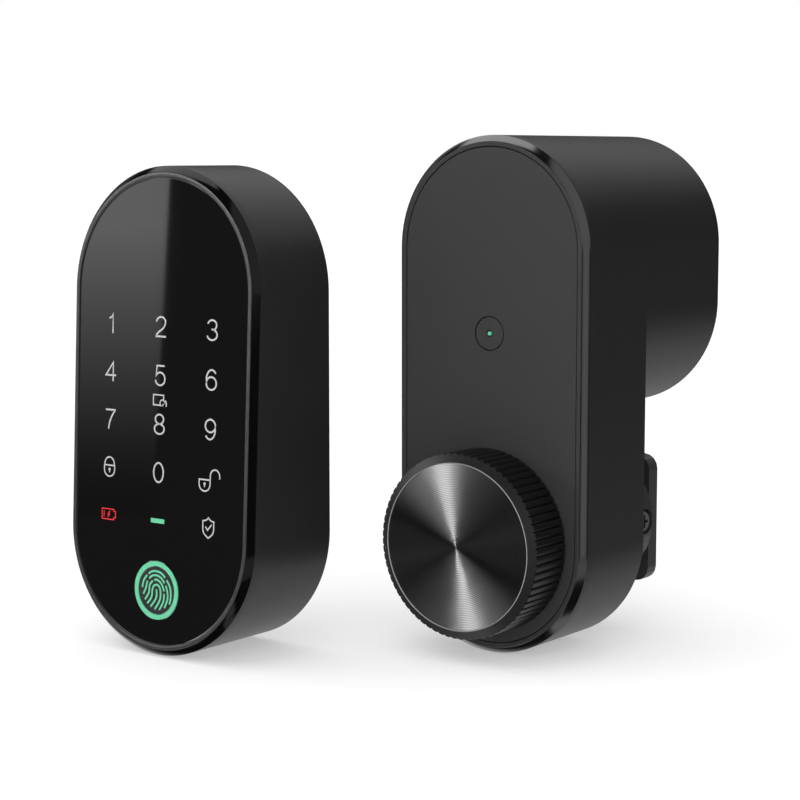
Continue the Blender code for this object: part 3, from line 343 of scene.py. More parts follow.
def grained(name, colour, lighter, roughness, grain_size, grain_depth, metallic=0.0, specular=0.5):
    """Fine-grained coating: colour and roughness drift, with a fine bump."""
    material, tree, shader = principled(name, colour, roughness, metallic, specular)
    cloud = noise(tree, scale=60.0, detail=4.0)
    tree.links.new(tint(tree, cloud, colour, lighter), shader.inputs["Base Color"])
    speckle = noise(tree, scale=1.0 / grain_size, detail=2.0)
    rough = spread(tree, speckle, low=roughness - 0.05, high=roughness + 0.06)
    tree.links.new(rough, shader.inputs["Roughness"])
    bump(tree, shader, speckle, grain_depth)
    return material


# One satin black in two copies: the drive's copy is painted darker, with less sheen, than the keypad's. This
# is painted shade that evens out how differently the two units are lit.
DRIVE_SIDE_SHADED_COPY = grained("satin_black_drive_shaded_copy", (0.0120, 0.0120, 0.0123), (0.0150, 0.0150, 0.0153),
               roughness=0.38, grain_size=0.22 * MM, grain_depth=0.012 * MM, specular=0.26)
KEYPAD_SIDE_LIT_COPY = grained("satin_black_keypad_lit_copy", (0.0135, 0.0135, 0.0138), (0.0170, 0.0170, 0.0173),
                      roughness=0.38, grain_size=0.22 * MM, grain_depth=0.012 * MM, specular=0.36)
POLISHED = grained("polished_chamfer", (0.0012, 0.0012, 0.0013), (0.0020, 0.0020, 0.0021),
                   roughness=0.07, grain_size=0.9 * MM, grain_depth=0.0008 * MM, specular=0.55)
FLAT_RIM = grained("matte_rim", (0.030, 0.030, 0.031), (0.036, 0.036, 0.037),
                   roughness=0.35, grain_size=0.22 * MM, grain_depth=0.006 * MM)
DRIVE_CHAMFER = grained("satin_chamfer", (0.20, 0.20, 0.205), (0.23, 0.23, 0.235),
                        roughness=0.14, grain_size=0.4 * MM, grain_depth=0.0012 * MM, metallic=1.0)
PANEL = grained("charcoal_panel", (0.0330, 0.0330, 0.0333), (0.0370, 0.0370, 0.0373),
                roughness=0.55, grain_size=0.18 * MM, grain_depth=0.010 * MM, specular=0.25)
INNER = grained("moulded_black", (0.012, 0.012, 0.012), (0.018, 0.018, 0.018),
                roughness=0.55, grain_size=0.6 * MM, grain_depth=0.01 * MM)


def glass_material():
    """Black glass with the faintest unevenness in its gloss."""
    material, tree, shader = principled("black_glass", (0.0058, 0.0054, 0.0056), roughness=0.03)
    smear = noise(tree, scale=45.0, detail=3.0)
    tree.links.new(spread(tree, smear, low=0.018, high=0.040), shader.inputs["Roughness"])
    return material


def print_material():
    """Pale print of the legends, faintly lit from behind."""
    colour = (0.46, 0.46, 0.47)
    material, tree, shader = principled("legend_print", colour, roughness=0.45)
    shader.inputs["Emission Color"].default_value = (*colour, 1.0)
    shader.inputs["Emission Strength"].default_value = 0.09
    fleck = noise(tree, scale=900.0, detail=2.0)
    ink = tint(tree, fleck, dark=(0.38, 0.38, 0.39), light=(0.45, 0.45, 0.46))
    tree.links.new(ink, shader.inputs["Base Color"])
    return material


def lamp_material(name, colour, strength):
    """Coloured light behind a diffuser."""
    material, tree, shader = principled(name, colour, roughness=0.35)
    shader.inputs["Emission Color"].default_value = (*colour, 1.0)
    shader.inputs["Emission Strength"].default_value = strength
    uneven = noise(tree, scale=700.0, detail=2.0)
    darker = tuple(0.93 * part for part in colour)
    tree.links.new(tint(tree, uneven, darker, colour), shader.inputs["Base Color"])
    return material


def knurl_material():
    """Dark metal of the ridged grip, brushed along its ridges."""
    material, tree, shader = principled("dark_ridged_metal", (0.030, 0.030, 0.031),
                                        roughness=0.30, metallic=0.8)
    streak = noise(tree, scale=900.0, detail=3.0, roughness=0.6, stretch=(1.0, 0.08, 1.0))
    metal = tint(tree, streak, dark=(0.020, 0.020, 0.021), light=(0.036, 0.036, 0.037))
    tree.links.new(metal, shader.inputs["Base Color"])
    tree.links.new(spread(tree, streak, low=0.26, high=0.40), shader.inputs["Roughness"])
    bump(tree, shader, streak, distance=0.004 * MM)
    return material


def spun_material():
    """Spun metal: fine rings about the knob's axis, so light stands in lobes."""
    material, tree, shader = principled("spun_metal", (0.50, 0.50, 0.505), roughness=0.30, metallic=1.0)
    shader.inputs["Anisotropic"].default_value = 1.0
    shader.inputs["Anisotropic Rotation"].default_value = 0.25
    tangent = tree.nodes.new("ShaderNodeTangent")
    tangent.direction_type = "RADIAL"
    tangent.axis = "Y"
    tree.links.new(tangent.outputs["Tangent"], shader.inputs["Tangent"])
    rings = tree.nodes.new("ShaderNodeTexWave")
    rings.wave_type = "RINGS"
    rings.rings_direction = "Y"
    rings.inputs["Scale"].default_value = WAVE_PERIOD / RING_SPACING
    rings.inputs["Distortion"].default_value = 0.0
    tree.links.new(object_coordinates(tree), rings.inputs["Vector"])
    bump(tree, shader, rings.outputs["Fac"], distance=0.022 * MM)
    metal = tint(tree, rings.outputs["Fac"], dark=(0.15, 0.15, 0.153), light=(0.34, 0.34, 0.343))
    tree.links.new(metal, shader.inputs["Base Color"])
    return material


def brushed(name, colour, roughness):
    """Plain metal with fine drawn lines."""
    material, tree, shader = principled(name, colour, roughness, metallic=1.0)
    lines = noise(tree, scale=1200.0, detail=3.0, roughness=0.6, stretch=(1.0, 1.0, 0.05))
    darker = tuple(0.8 * part for part in colour)
    tree.links.new(tint(tree, lines, darker, colour), shader.inputs["Base Color"])
    rough = spread(tree, lines, low=roughness - 0.08, high=roughness + 0.08)
    tree.links.new(rough, shader.inputs["Roughness"])
    bump(tree, shader, lines, distance=0.004 * MM)
    return material


def board_material():
    """Green solder mask with faint traces."""
    material, tree, shader = principled("solder_mask", (0.01, 0.10, 0.04), roughness=0.35)
    traces = tree.nodes.new("ShaderNodeTexBrick")
    traces.inputs["Scale"].default_value = 260.0
    traces.inputs["Color1"].default_value = (0.010, 0.095, 0.040, 1.0)
    traces.inputs["Color2"].default_value = (0.014, 0.120, 0.050, 1.0)
    traces.inputs["Mortar"].default_value = (0.030, 0.170, 0.080, 1.0)
    tree.links.new(object_coordinates(tree), traces.inputs["Vector"])
    tree.links.new(traces.outputs["Color"], shader.inputs["Base Color"])
    return material


GLASS = glass_material()
PRINT = print_material()
GREEN = lamp_material("green_light", (0.113, 0.500, 0.285), strength=0.15)
RED = lamp_material("red_light", (0.60, 0.014, 0.020), strength=0.50)
KNURL = knurl_material()
CONE = grained("turned_cone", (0.050, 0.050, 0.051), (0.065, 0.065, 0.066),
               roughness=0.30, grain_size=0.3 * MM, grain_depth=0.0015 * MM, metallic=0.8)
SPUN = spun_material()
BRIGHT = grained("bright_trim", (0.46, 0.46, 0.465), (0.52, 0.52, 0.525),
                 roughness=0.35, grain_size=0.3 * MM, grain_depth=0.001 * MM, metallic=0.25)
STEEL = brushed("plain_steel", (0.50, 0.50, 0.51), roughness=0.34)
BRASS = brushed("yellow_metal", (0.55, 0.38, 0.14), roughness=0.30)
BOARD = board_material()
RUBBER = grained("black_rubber", (0.012, 0.012, 0.012), (0.022, 0.022, 0.022),
                 roughness=0.75, grain_size=0.4 * MM, grain_depth=0.02 * MM)
FOAM = grained("foam_tape", (0.035, 0.035, 0.036), (0.055, 0.055, 0.056),
               roughness=0.85, grain_size=0.5 * MM, grain_depth=0.06 * MM)
NYLON = grained("natural_nylon", (0.62, 0.61, 0.56), (0.70, 0.69, 0.64),
                roughness=0.45, grain_size=0.5 * MM, grain_depth=0.006 * MM)
SENSOR = grained("sensor_coating", (0.022, 0.023, 0.023), (0.027, 0.028, 0.028),
                 roughness=0.30, grain_size=0.3 * MM, grain_depth=0.002 * MM)
SLEEVE = grained("cell_sleeve", (0.05, 0.09, 0.13), (0.06, 0.11, 0.16),
                 roughness=0.30, grain_size=0.8 * MM, grain_depth=0.004 * MM)
COUPLER = grained("coupler_plastic", (0.020, 0.020, 0.020), (0.030, 0.030, 0.030),
                  roughness=0.42, grain_size=0.4 * MM, grain_depth=0.01 * MM)

# Look of each CAD node; cells get the sleeve, and every node that is left is plain steel.
NODE_LOOKS = {
    "drive_front_panel": PANEL,
    "status_button": PANEL,
    "drive_back_plate": INNER,
    "drive_battery_cover": INNER,
    "keypad_rear_cover": INNER,
    "drive_cell_tray": INNER,
    "keypad_cell_tray": INNER,
    "tact_switch": INNER,
    "keypad_buzzer": INNER,
    "coupler_drum": COUPLER,
    "adapter_plate": COUPLER,
    "fixed_jaw_pad": RUBBER,
    "clamp_jaw_pad": RUBBER,
    "drive_door_adhesive_pad": FOAM,
    "keypad_door_adhesive_pad": FOAM,
    "drive_circuit_board": BOARD,
    "keypad_main_board": BOARD,
    "keypad_touch_board": BOARD,
    "output_gear": NYLON,
    "reduction_wheel": NYLON,
    "knob_front_bushing": NYLON,
    "knob_rear_bushing": NYLON,
    "motor_pinion": BRASS,
    "reduction_pinion": BRASS,
    "fingerprint_sensor": SENSOR,
    "fingerprint_light_ring": GREEN,
    "status_light": GREEN,
    "status_light_bar": GREEN,
}


def dress_nodes():
    """Give every CAD node its material."""
    for name, item in frame["nodes"].items():
        look = NODE_LOOKS.get(name)
        if look is None:
            look = SLEEVE if "_cell_" in name else STEEL
        item.data.materials.clear()
        item.data.materials.append(look)


# ---------------------------------------------------------------- shells

def node_frame(name):
    """Centre, width, height, front and back of a node's box."""
    low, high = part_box(name)
    return (low + high) / 2, high.x - low.x, high.z - low.z, low.y, high.y


def recess_path():
    """Rear edge, recess wall, flange and the wall in front of it, as (inset, depth from the back)."""
    return [(REAR_BEVEL, RECESS_RIM), (WALL, RECESS_RIM), (WALL, RECESS_DEPTH), (FLANGE_INSET, RECESS_DEPTH),
            (FLANGE_INSET, FLANGE_BACK), (WALL, FLANGE_BACK)]


def rim_path(seat):
    """Chamfer, flat rim, seat and ledge, as (inset, depth from the front)."""
    opening = CHAMFER + RIM_FLAT
    ledge = opening + LEDGE_WIDTH
    path = [(0.0, 3.0 * CHAMFER), (0.0, CHAMFER), (CHAMFER, 0.0), (opening, 0.0), (opening, seat),
            (ledge, seat), (ledge, seat + LEDGE_THICK), (WALL, seat + LEDGE_THICK)]
    return rounded(path, (1, 2, 3), EDGE_ROUND)


# Material of each band along rim_path: side, chamfer, flat rim, inside.
RIM_BANDS = [0, 0, 1, 1, 1, 2, 2, 2, 3, 3, 3, 3, 3]


def build_drive_shell():
    """Front housing with a satin side, a chamfer and a flat rim."""
    centre, width, height, front, back = node_frame("drive_front_housing")
    sections = [(stadium(width, height, 0.0), back, False)]
    rim = rim_path(SEAT_DEPTH)
    sections += [(stadium(width, height, inset), front + depth, False) for inset, depth in rim]
    sections.append((stadium(width, height, WALL), back, False))
    bands = [0] + RIM_BANDS + [3, 0]
    shell = loft("drive_shell", sections, [DRIVE_SIDE_SHADED_COPY, DRIVE_CHAMFER, PANEL, INNER], bands,
                 place=(centre.x, 0.0, centre.z))
    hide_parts("drive_front_housing")
    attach(shell, "drive_unit")


def build_drive_rear_shell():
    """Rear housing, open to the front, with the recess for the door plate."""
    centre, width, height, _, rear_edge = node_frame("drive_rear_housing")
    _, front_shell_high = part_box("drive_front_housing")
    front = front_shell_high.y + HAIRLINE
    back = rear_edge + RECESS_RIM
    outer = stadium(width, height, 0.0)
    sections = [(outer, front, False), (outer, back - RECESS_RIM - REAR_BEVEL, False)]
    sections += [(stadium(width, height, inset), back - depth, False) for inset, depth in recess_path()]
    sections.append((stadium(width, height, WALL), front, False))
    shell = loft("drive_rear_shell", sections, [DRIVE_SIDE_SHADED_COPY, INNER], [0, 0, 0, 1, 1, 1, 1, 1, 0],
                 place=(centre.x, 0.0, centre.z))
    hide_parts("drive_rear_housing")
    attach(shell, "drive_unit")


def build_keypad_shell():
    """Keypad housing: satin wedge, polished chamfer, thin matte rim."""
    centre, width, height, front, rear_edge = node_frame("keypad_housing")
    back = rear_edge + RECESS_RIM
    sections = [(stadium(width, height, 0.0), back - RECESS_RIM - REAR_BEVEL, False)]
    rim = rim_path(KEYPAD_SEAT_DEPTH)
    sections += [(stadium(width, height, inset), front + depth, True) for inset, depth in rim]
    recess = [(stadium(width, height, inset), back - depth, False) for inset, depth in recess_path()]
    sections += list(reversed(recess))
    bands = [0] + RIM_BANDS + [3] * 6 + [0]
    shell = loft("keypad_shell", sections, [KEYPAD_SIDE_LIT_COPY, POLISHED, FLAT_RIM, INNER], bands,
                 place=(centre.x, 0.0, centre.z), lean=KEYPAD_LEAN, lean_z=keypad_low.z)
    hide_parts("keypad_housing")
    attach(shell, "keypad_module")


# ---------------------------------------------------------------- glass and legends

def sensor_hole(outline, radius, drop):
    """Points on the sensor's hole, each facing one point of the outline around it."""
    hole = []
    for x, z in outline:
        angle = math.atan2(z - drop, x)
        hole.append((radius * math.cos(angle), drop + radius * math.sin(angle)))
    return hole


def build_glass():
    """Black glass around the fingerprint sensor's hole."""
    centre, width, height, _, _ = node_frame("keypad_glass")
    ring, ring_width, _, _, _ = node_frame("fingerprint_light_ring")
    outer = stadium(width, height, 0.0)
    edge = stadium(width, height, GLASS_EDGE)
    hole = sensor_hole(outer, ring_width / 2 + SENSOR_GAP, ring.z - centre.z)
    front = keypad_low.y + GLASS_SINK
    back = front + GLASS_THICK
    sections = [(edge, front, True), (outer, front + GLASS_EDGE, True), (outer, back, True),
                (hole, back, True), (hole, front, True)]
    glass = loft("keypad_glass_panel", sections, [GLASS], place=(centre.x, 0.0, centre.z),
                 lean=KEYPAD_LEAN, lean_z=keypad_low.z)
    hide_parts("keypad_glass")
    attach(glass, "keypad_module")


def curve(*points, steps=10):
    """Smooth line through the given points."""
    padded = [points[0], *points, points[-1]]
    line = []
    for before, start, end, after in zip(padded, padded[1:], padded[2:], padded[3:]):
        for step in range(steps):
            t = step / steps
            line.append(tuple(0.5 * (2 * p1 + (p2 - p0) * t + (2 * p0 - 5 * p1 + 4 * p2 - p3) * t * t
                                     + (3 * p1 - p0 - 3 * p2 + p3) * t ** 3)
                              for p0, p1, p2, p3 in zip(before, start, end, after)))
    line.append(tuple(points[-1]))
    return line


def arc(x, z, rx, rz, start, end, steps=28):
    """Elliptical arc, angles in degrees."""
    line = []
    for step in range(steps + 1):
        angle = math.radians(start + (end - start) * step / steps)
        line.append((x + rx * math.cos(angle), z + rz * math.sin(angle)))
    return line


def turned_half(lines):
    """The lines turned by half a turn."""
    return [[(-x, -z) for x, z in line] for line in lines]


# Legends as lines, in millimetres about their own centres.
SIX = [arc(0.12, -0.1, 1.86, 2.68, 42, 172) + arc(0.0, -0.93, 1.74, 1.65, 168, -180, 48)]
DIGITS = {
    "0": [arc(0.0, 0.0, 1.72, 2.58, 90, 450, 48)],
    "1": [[(-0.95, 1.5), (-0.45, 1.6), (-0.05, 1.82), (0.25, 2.15), (0.42, 2.6), (0.42, -2.6)]],
    "2": [arc(-0.05, 1.05, 1.66, 1.53, 172, 18) + curve((1.45, 0.72), (0.75, -0.35), (-0.75, -1.35),
                                                         (-1.55, -2.12), (-1.72, -2.58)) + [(1.78, -2.58)]],
    "3": [arc(-0.05, 1.28, 1.5, 1.30, 168, -62) + [(0.05, 0.12)],
          [(-0.25, 0.13)] + arc(-0.05, -1.22, 1.72, 1.37, 90, -168)],
    "4": [[(0.78, -2.6), (0.78, 2.5), (-1.85, -0.98), (1.85, -0.98)]],
    "5": [[(1.5, 2.58), (-1.15, 2.58), (-1.55, -0.05)] + arc(-0.05, -0.88, 1.72, 1.70, 148, -168, 40)],
    "6": SIX,
    "7": [[(-1.75, 2.58), (1.72, 2.58)] + curve((1.72, 2.5), (0.62, 1.0), (-0.22, -0.75), (-0.62, -2.6))],
    "8": [arc(0.0, 1.33, 1.46, 1.26, 90, 450, 40), arc(0.0, -1.26, 1.74, 1.33, 90, 450, 40)],
    "9": turned_half(SIX),
}
PADLOCK_BODY = [[(-1.9, 0.4), (-1.9, -0.75)] + arc(0.0, -0.75, 1.9, 1.85, 180, 360)
                + [(1.9, 0.4), (-1.9, 0.4)]]
KEYHOLE = [arc(0.0, -0.72, 0.22, 0.22, 90, 450, 12), [(0.0, -0.9), (0.0, -1.55)]]
CLOSED_PADLOCK = PADLOCK_BODY + KEYHOLE + [[(-1.72, 0.4), (-1.72, 0.85)] + arc(0.0, 0.85, 1.72, 1.75, 180, 0)
                                           + [(1.72, 0.4)]]
OPEN_SHACKLE = [[(0.35, -0.35), (0.35, 0.75)] + arc(1.98, 0.75, 1.63, 1.72, 180, 0) + [(3.61, 0.15)]]
OPEN_PADLOCK = [[(x - 1.6, z - 0.75) for x, z in line] for line in PADLOCK_BODY + KEYHOLE] + OPEN_SHACKLE
BATTERY = [[(-2.5, -1.4), (-2.5, 1.4), (1.9, 1.4), (1.9, 0.85), (2.5, 0.85), (2.5, -0.85), (1.9, -0.85),
            (1.9, -1.4), (-2.5, -1.4)], [(-1.75, 0.85), (-1.75, -0.85)]]
BOLT = [[(0.45, 0.85), (-0.42, -0.05), (0.42, 0.05), (-0.42, -0.85)]]
SHIELD = [[(0.0, 2.65)] + curve((-0.02, 2.62), (-0.8, 2.0), (-1.9, 1.75)) + [(-1.9, -0.4)]
          + curve((-1.88, -0.5), (-1.4, -1.6), (0.0, -2.65)) + curve((0.0, -2.65), (1.4, -1.6), (1.88, -0.5))
          + [(1.9, 1.75)] + curve((1.88, 1.75), (0.8, 2.0), (0.0, 2.65)),
          [(-1.0, 0.3), (-0.25, -0.6), (1.15, 0.95)]]
CARD_ICON = [[(0.35, -1.35), (-2.3, -1.35), (-2.3, 1.35), (1.35, 1.35), (1.35, 0.15)],
             arc(0.95, -0.75, 0.85, 0.85, 250, 20, 24)
             + curve((1.8, -0.6), (2.15, -0.1), (2.35, -0.8), (2.3, -1.6)),
             [(0.95, -1.5), (1.35, -0.9)]]
FINGERPRINT = [
    curve((-2.9, 4.2), (-1.6, 4.95), (0.0, 5.15), (1.7, 4.8), (3.1, 3.8)),
    curve((-3.45, 3.75), (-4.6, 2.2), (-5.1, 0.3)),
    curve((3.7, 3.2), (4.9, 1.4), (5.25, -0.8), (4.85, -3.2)),
    curve((-2.65, 2.95), (-1.5, 3.8), (0.0, 4.05), (1.6, 3.55), (2.95, 2.3)),
    curve((-3.25, 2.2), (-3.8, 0.3), (-4.65, -1.5)),
    curve((3.4, 1.7), (4.1, -0.3), (4.0, -2.2), (3.0, -4.4)),
    curve((-0.8, 2.75), (0.3, 2.85), (1.9, 1.9), (2.85, 0.1)),
    curve((-1.35, 2.45), (-2.4, 1.2), (-2.7, -0.9), (-4.05, -2.9)),
    curve((2.85, -0.6), (2.6, -2.7), (1.2, -5.1)),
    curve((-3.2, -3.85), (-1.75, -2.1), (-1.4, 0.1), (-0.9, 1.15), (0.05, 1.55), (1.0, 1.15), (1.5, 0.0),
          (1.35, -2.4), (-0.45, -5.1)),
    curve((0.05, 0.3), (0.0, -2.0), (-2.0, -4.6)),
]


def strip_edges(line, width):
    """Left and right edges of a line drawn with the given width, mitred at its corners."""
    closed = math.dist(line[0], line[-1]) < SAME_POINT
    points = [Vector(point) for point in line]
    edges = []
    last = len(points) - 1
    for index, point in enumerate(points):
        before = points[index - 1] if index else (points[last - 1] if closed else None)
        after = points[index + 1] if index < last else (points[1] if closed else None)
        way_in = (point - before).normalized() if before is not None else None
        way_out = (after - point).normalized() if after is not None else None
        way_in = way_in or way_out
        way_out = way_out or way_in
        middle = (way_in + way_out).normalized()
        side = Vector((-middle.y, middle.x))
        reach = width / 2 / max(MITRE_LIMIT, middle.dot(way_out))
        edges.append((point + side * reach, point - side * reach))
    return edges


def without_repeats(line):
    """Drop the points that lie almost on the one before."""
    kept = [line[0]]
    for point in line[1:]:
        if math.dist(point, kept[-1]) > SHORTEST_STEP:
            kept.append(point)
    return kept


def add_strips(builder, lines, width, place, surface):
    """Thin raised strips along the lines; surface(z) gives the depth of the face they lie on."""
    for line in lines:
        sections = []
        for left, right in strip_edges(without_repeats(line), width):
            section = []
            for point, lift in ((left, PRINT_RAISE), (right, PRINT_RAISE),
                                (right, -PRINT_SUNK), (left, -PRINT_SUNK)):
                x = place[0] + point.x * MM
                z = place[1] + point.y * MM
                section.append(builder.verts.new((x, surface(z) - lift, z)))
            sections.append(section)
        for first, second in zip(sections, sections[1:]):
            for corner in range(4):
                following = (corner + 1) % 4
                builder.faces.new((first[corner], first[following], second[following], second[corner]))
        builder.faces.new(sections[0])
        builder.faces.new(sections[-1])


def glass_face(z):
    """Depth of the glass's front face at a height."""
    return keypad_low.y + GLASS_SINK + KEYPAD_LEAN * (z - keypad_low.z)


def legend_spot(column, row):
    """Centre of a legend, from its column (0 to 2) and its height above the keypad's foot."""
    middle_x = (keypad_low.x + keypad_high.x) / 2
    return middle_x + (column - 1) * LEGEND_COLUMN * MM, keypad_low.z + row * MM


def drawn(legends):
    """One mesh of several legends, each as (lines, width, column, row)."""
    builder = bmesh.new()
    for lines, width, column, row in legends:
        add_strips(builder, lines, width, legend_spot(column, row), glass_face)
    return builder


def drawn_fingerprint():
    """Mesh of the fingerprint's ridges on the sensor."""
    sensor, _, _, front, _ = node_frame("fingerprint_sensor")
    low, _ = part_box("fingerprint_sensor")
    sink = front - glass_face(low.z)
    builder = bmesh.new()
    add_strips(builder, FINGERPRINT, MARK_STROKE, (sensor.x, sensor.z), lambda z: glass_face(z) + sink)
    return builder


def build_legends():
    """Digits, icons, status bar and fingerprint mark on the keypad's face."""
    digits = [(DIGITS[digit], DIGIT_STROKE, index % 3, LEGEND_ROWS[index // 3])
              for index, digit in enumerate("123456789")]
    digits.append((DIGITS["0"], DIGIT_STROKE, 1, LEGEND_ROWS[3]))
    icons = [(CLOSED_PADLOCK, ICON_STROKE, 0, LEGEND_ROWS[3]),
             (OPEN_PADLOCK, ICON_STROKE, 2, LEGEND_ROWS[3]),
             (SHIELD, ICON_STROKE, 2, LEGEND_ROWS[4]),
             (CARD_ICON, CARD_ICON_STROKE, 1, CARD_ICON_ROW)]
    battery = [(BATTERY + BOLT, BATTERY_STROKE, 0, LEGEND_ROWS[4])]
    bar = [[(-STATUS_BAR_HALF, 0.0), (STATUS_BAR_HALF, 0.0)]]
    status = [(bar, STATUS_BAR_STROKE, 1, LEGEND_ROWS[4])]
    for name, builder, look, slot in (("legend_digits", drawn(digits), PRINT, "keypad_glass"),
                                      ("legend_icons", drawn(icons), PRINT, "keypad_glass"),
                                      ("legend_battery", drawn(battery), RED, "keypad_glass"),
                                      ("legend_status_bar", drawn(status), GREEN, "status_light_bar"),
                                      ("fingerprint_mark", drawn_fingerprint(), GREEN,
                                       "fingerprint_light_ring")):
        piece = new_object(name, builder, [look])
        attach(piece, "keypad_module")


# ---------------------------------------------------------------- knob

def ridged(radius):
    """Round outline of broad convex ridges with narrow grooves between them."""
    points = []
    for index in range(RIDGE_COUNT * RIDGE_SAMPLES):
        angle = 2 * math.pi * index / (RIDGE_COUNT * RIDGE_SAMPLES)
        fraction = (index % RIDGE_SAMPLES) / RIDGE_SAMPLES
        from_groove = min(fraction, 1.0 - fraction) * 2.0
        share = 1.0 - (1.0 - from_groove) ** RIDGE_SHARPNESS
        reach = radius - RIDGE_DEPTH * (1.0 - share)
        points.append((reach * math.cos(angle), reach * math.sin(angle)))
    return points


def grip_ring(builder, centre, inner, radius, shrink, start, cone):
    """One closed ring of the grip's section; a shrink of None puts it on the inner bore."""
    ring = []
    for x, z in ridged(radius):
        reach = math.hypot(x, z)
        target = inner if shrink is None else reach - shrink
        depth = start + cone * (target - inner)
        share = target / reach
        ring.append(builder.verts.new((centre.x + x * share, depth, centre.z + z * share)))
    return ring


def build_grip():
    """Ridged grip with a smooth cone across the front ends of its ridges."""
    centre, width, _, front, back = node_frame("knob_grip")
    _, trim_width, _, _, _ = node_frame("knob_trim_ring")
    radius = width / 2
    inner = trim_width / 2 + GRIP_GAP
    slope = GRIP_BEVEL / (radius - inner)
    builder = bmesh.new()
    steps = ((GRIP_REAR_SHRINK, back, 0.0), (0.0, back - GRIP_REAR_EDGE, 0.0), (0.0, front, slope),
             (None, front, 0.0), (None, back, 0.0))
    rings = [grip_ring(builder, centre, inner, radius, *step) for step in steps]
    for band, (first, second) in enumerate(zip(rings, rings[1:] + rings[:1])):
        for index in range(len(first)):
            following = (index + 1) % len(first)
            face = builder.faces.new((first[index], first[following], second[following], second[index]))
            face.material_index = 1 if band == 2 else 0
    grip = new_object("knob_ridged_grip", builder, [KNURL, CONE])
    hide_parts("knob_grip")
    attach(grip, "knob")


def build_disc():
    """Spun disc, with its origin on the knob's axis for the rings of its finish."""
    centre, _, _, front, _ = node_frame("knob_face")
    _, trim_width, _, _, _ = node_frame("knob_trim_ring")
    radius = trim_width / 2 - TRIM_WIDTH - DISC_GAP
    profile = [(radius - TRIM_EDGE, 0.0), (radius, TRIM_EDGE), (radius, DISC_THICK)]
    sections = [(circle(reach, DISC_POINTS), depth, False) for reach, depth in profile]
    disc = loft("knob_spun_disc", sections, [SPUN], closed=False)
    disc.location = (centre.x, front, centre.z)
    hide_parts("knob_face")
    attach(disc, "knob")


def build_trim():
    """Bright ring around the disc."""
    centre, width, _, front, back = node_frame("knob_trim_ring")
    outer = width / 2
    inner = outer - TRIM_WIDTH
    profile = [(outer, back), (outer, front + TRIM_EDGE), (outer - TRIM_EDGE, front),
               (inner + TRIM_EDGE, front), (inner, front + TRIM_EDGE), (inner, back)]
    sections = [(circle(reach, TRIM_POINTS), depth, False) for reach, depth in profile]
    trim = loft("knob_bright_ring", sections, [BRIGHT], place=(centre.x, 0.0, centre.z))
    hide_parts("knob_trim_ring")
    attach(trim, "knob")


def build_status_dot():
    """Lit end of the light pipe in the button."""
    centre, width, _, front, back = node_frame("status_light")
    outline = circle(LIT_SHARE_OF_PIPE * width / 2, DOT_POINTS)
    sections = [(outline, front, False), (outline, back, False)]
    dot = loft("status_light_dot", sections, [GREEN], closed=False, place=(centre.x, 0.0, centre.z))
    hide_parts("status_light")
    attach(dot, "button")


# ---------------------------------------------------------------- studio

def light_units_apart():
    """Keep the keypad out of the drive unit's reflections: each unit has its own studio."""
    bpy.context.view_layer.update()
    drive_low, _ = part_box("drive_front_housing")
    for piece in bpy.context.scene.objects:
        if piece.type != "MESH":
            continue
        reach = max((piece.matrix_world @ Vector(corner)).x for corner in piece.bound_box)
        if reach < drive_low.x:
            piece.visible_glossy = False


def build_floor():
    """Pale floor under the object."""
    builder = bmesh.new()
    height = cad_low.z - FLOOR_DROP
    for x, y in ((-1, -1), (1, -1), (1, 1), (-1, 1)):
        builder.verts.new((x * FLOOR_REACH, y * FLOOR_REACH, height))
    builder.faces.new(builder.verts)
    material, _, shader = principled("pale_floor", FLOOR_COLOUR, roughness=0.9, specular=0.0)
    shader.inputs["Emission Color"].default_value = (1.0, 1.0, 1.0, 1.0)
    shader.inputs["Emission Strength"].default_value = FLOOR_GLOW
    floor = new_object("studio_floor", builder, [material])
    floor.visible_glossy = False


def lit_card(name, left, right, bottom, top):
    """Upright emitting card that only mirror reflections see, with its shader tree and emission."""
    builder = bmesh.new()
    for x, z in ((left, bottom), (right, bottom), (right, top), (left, top)):
        builder.verts.new((x, 0.0, z))
    builder.faces.new(builder.verts)
    material = bpy.data.materials.new(name)
    material.use_nodes = True
    tree = material.node_tree
    tree.nodes.clear()
    output = tree.nodes.new("ShaderNodeOutputMaterial")
    emission = tree.nodes.new("ShaderNodeEmission")
    tree.links.new(emission.outputs["Emission"], output.inputs["Surface"])
    card = new_object(name, builder, [material])
    card.visible_camera = False
    card.visible_diffuse = False
    card.visible_shadow = False
    return card, tree, emission


def build_softbox():
    """Graded softbox that the keypad's glass mirrors."""
    card, tree, emission = lit_card("softbox_card", 0.0, SOFTBOX_WIDTH, SOFTBOX_BOTTOM, SOFTBOX_TOP)
    split = tree.nodes.new("ShaderNodeSeparateXYZ")
    tree.links.new(object_coordinates(tree), split.inputs["Vector"])
    ramp = tree.nodes.new("ShaderNodeMapRange")
    ramp.inputs["From Min"].default_value = SOFTBOX_DARK_Z
    ramp.inputs["From Max"].default_value = SOFTBOX_BRIGHT_Z
    tree.links.new(split.outputs["Z"], ramp.inputs["Value"])
    faded = with_constant(tree, "POWER", ramp.outputs["Result"], SOFTBOX_FADE_POWER)
    radiance = with_constant(tree, "MULTIPLY", faded, SOFTBOX_RADIANCE)
    tree.links.new(radiance, emission.inputs["Strength"])
    glass, _, _, _, _ = node_frame("keypad_glass")
    card.location = glass + SOFTBOX_SHIFT
    card.rotation_euler = (0.0, 0.0, math.atan2(SOFTBOX_ACROSS.y, SOFTBOX_ACROSS.x))


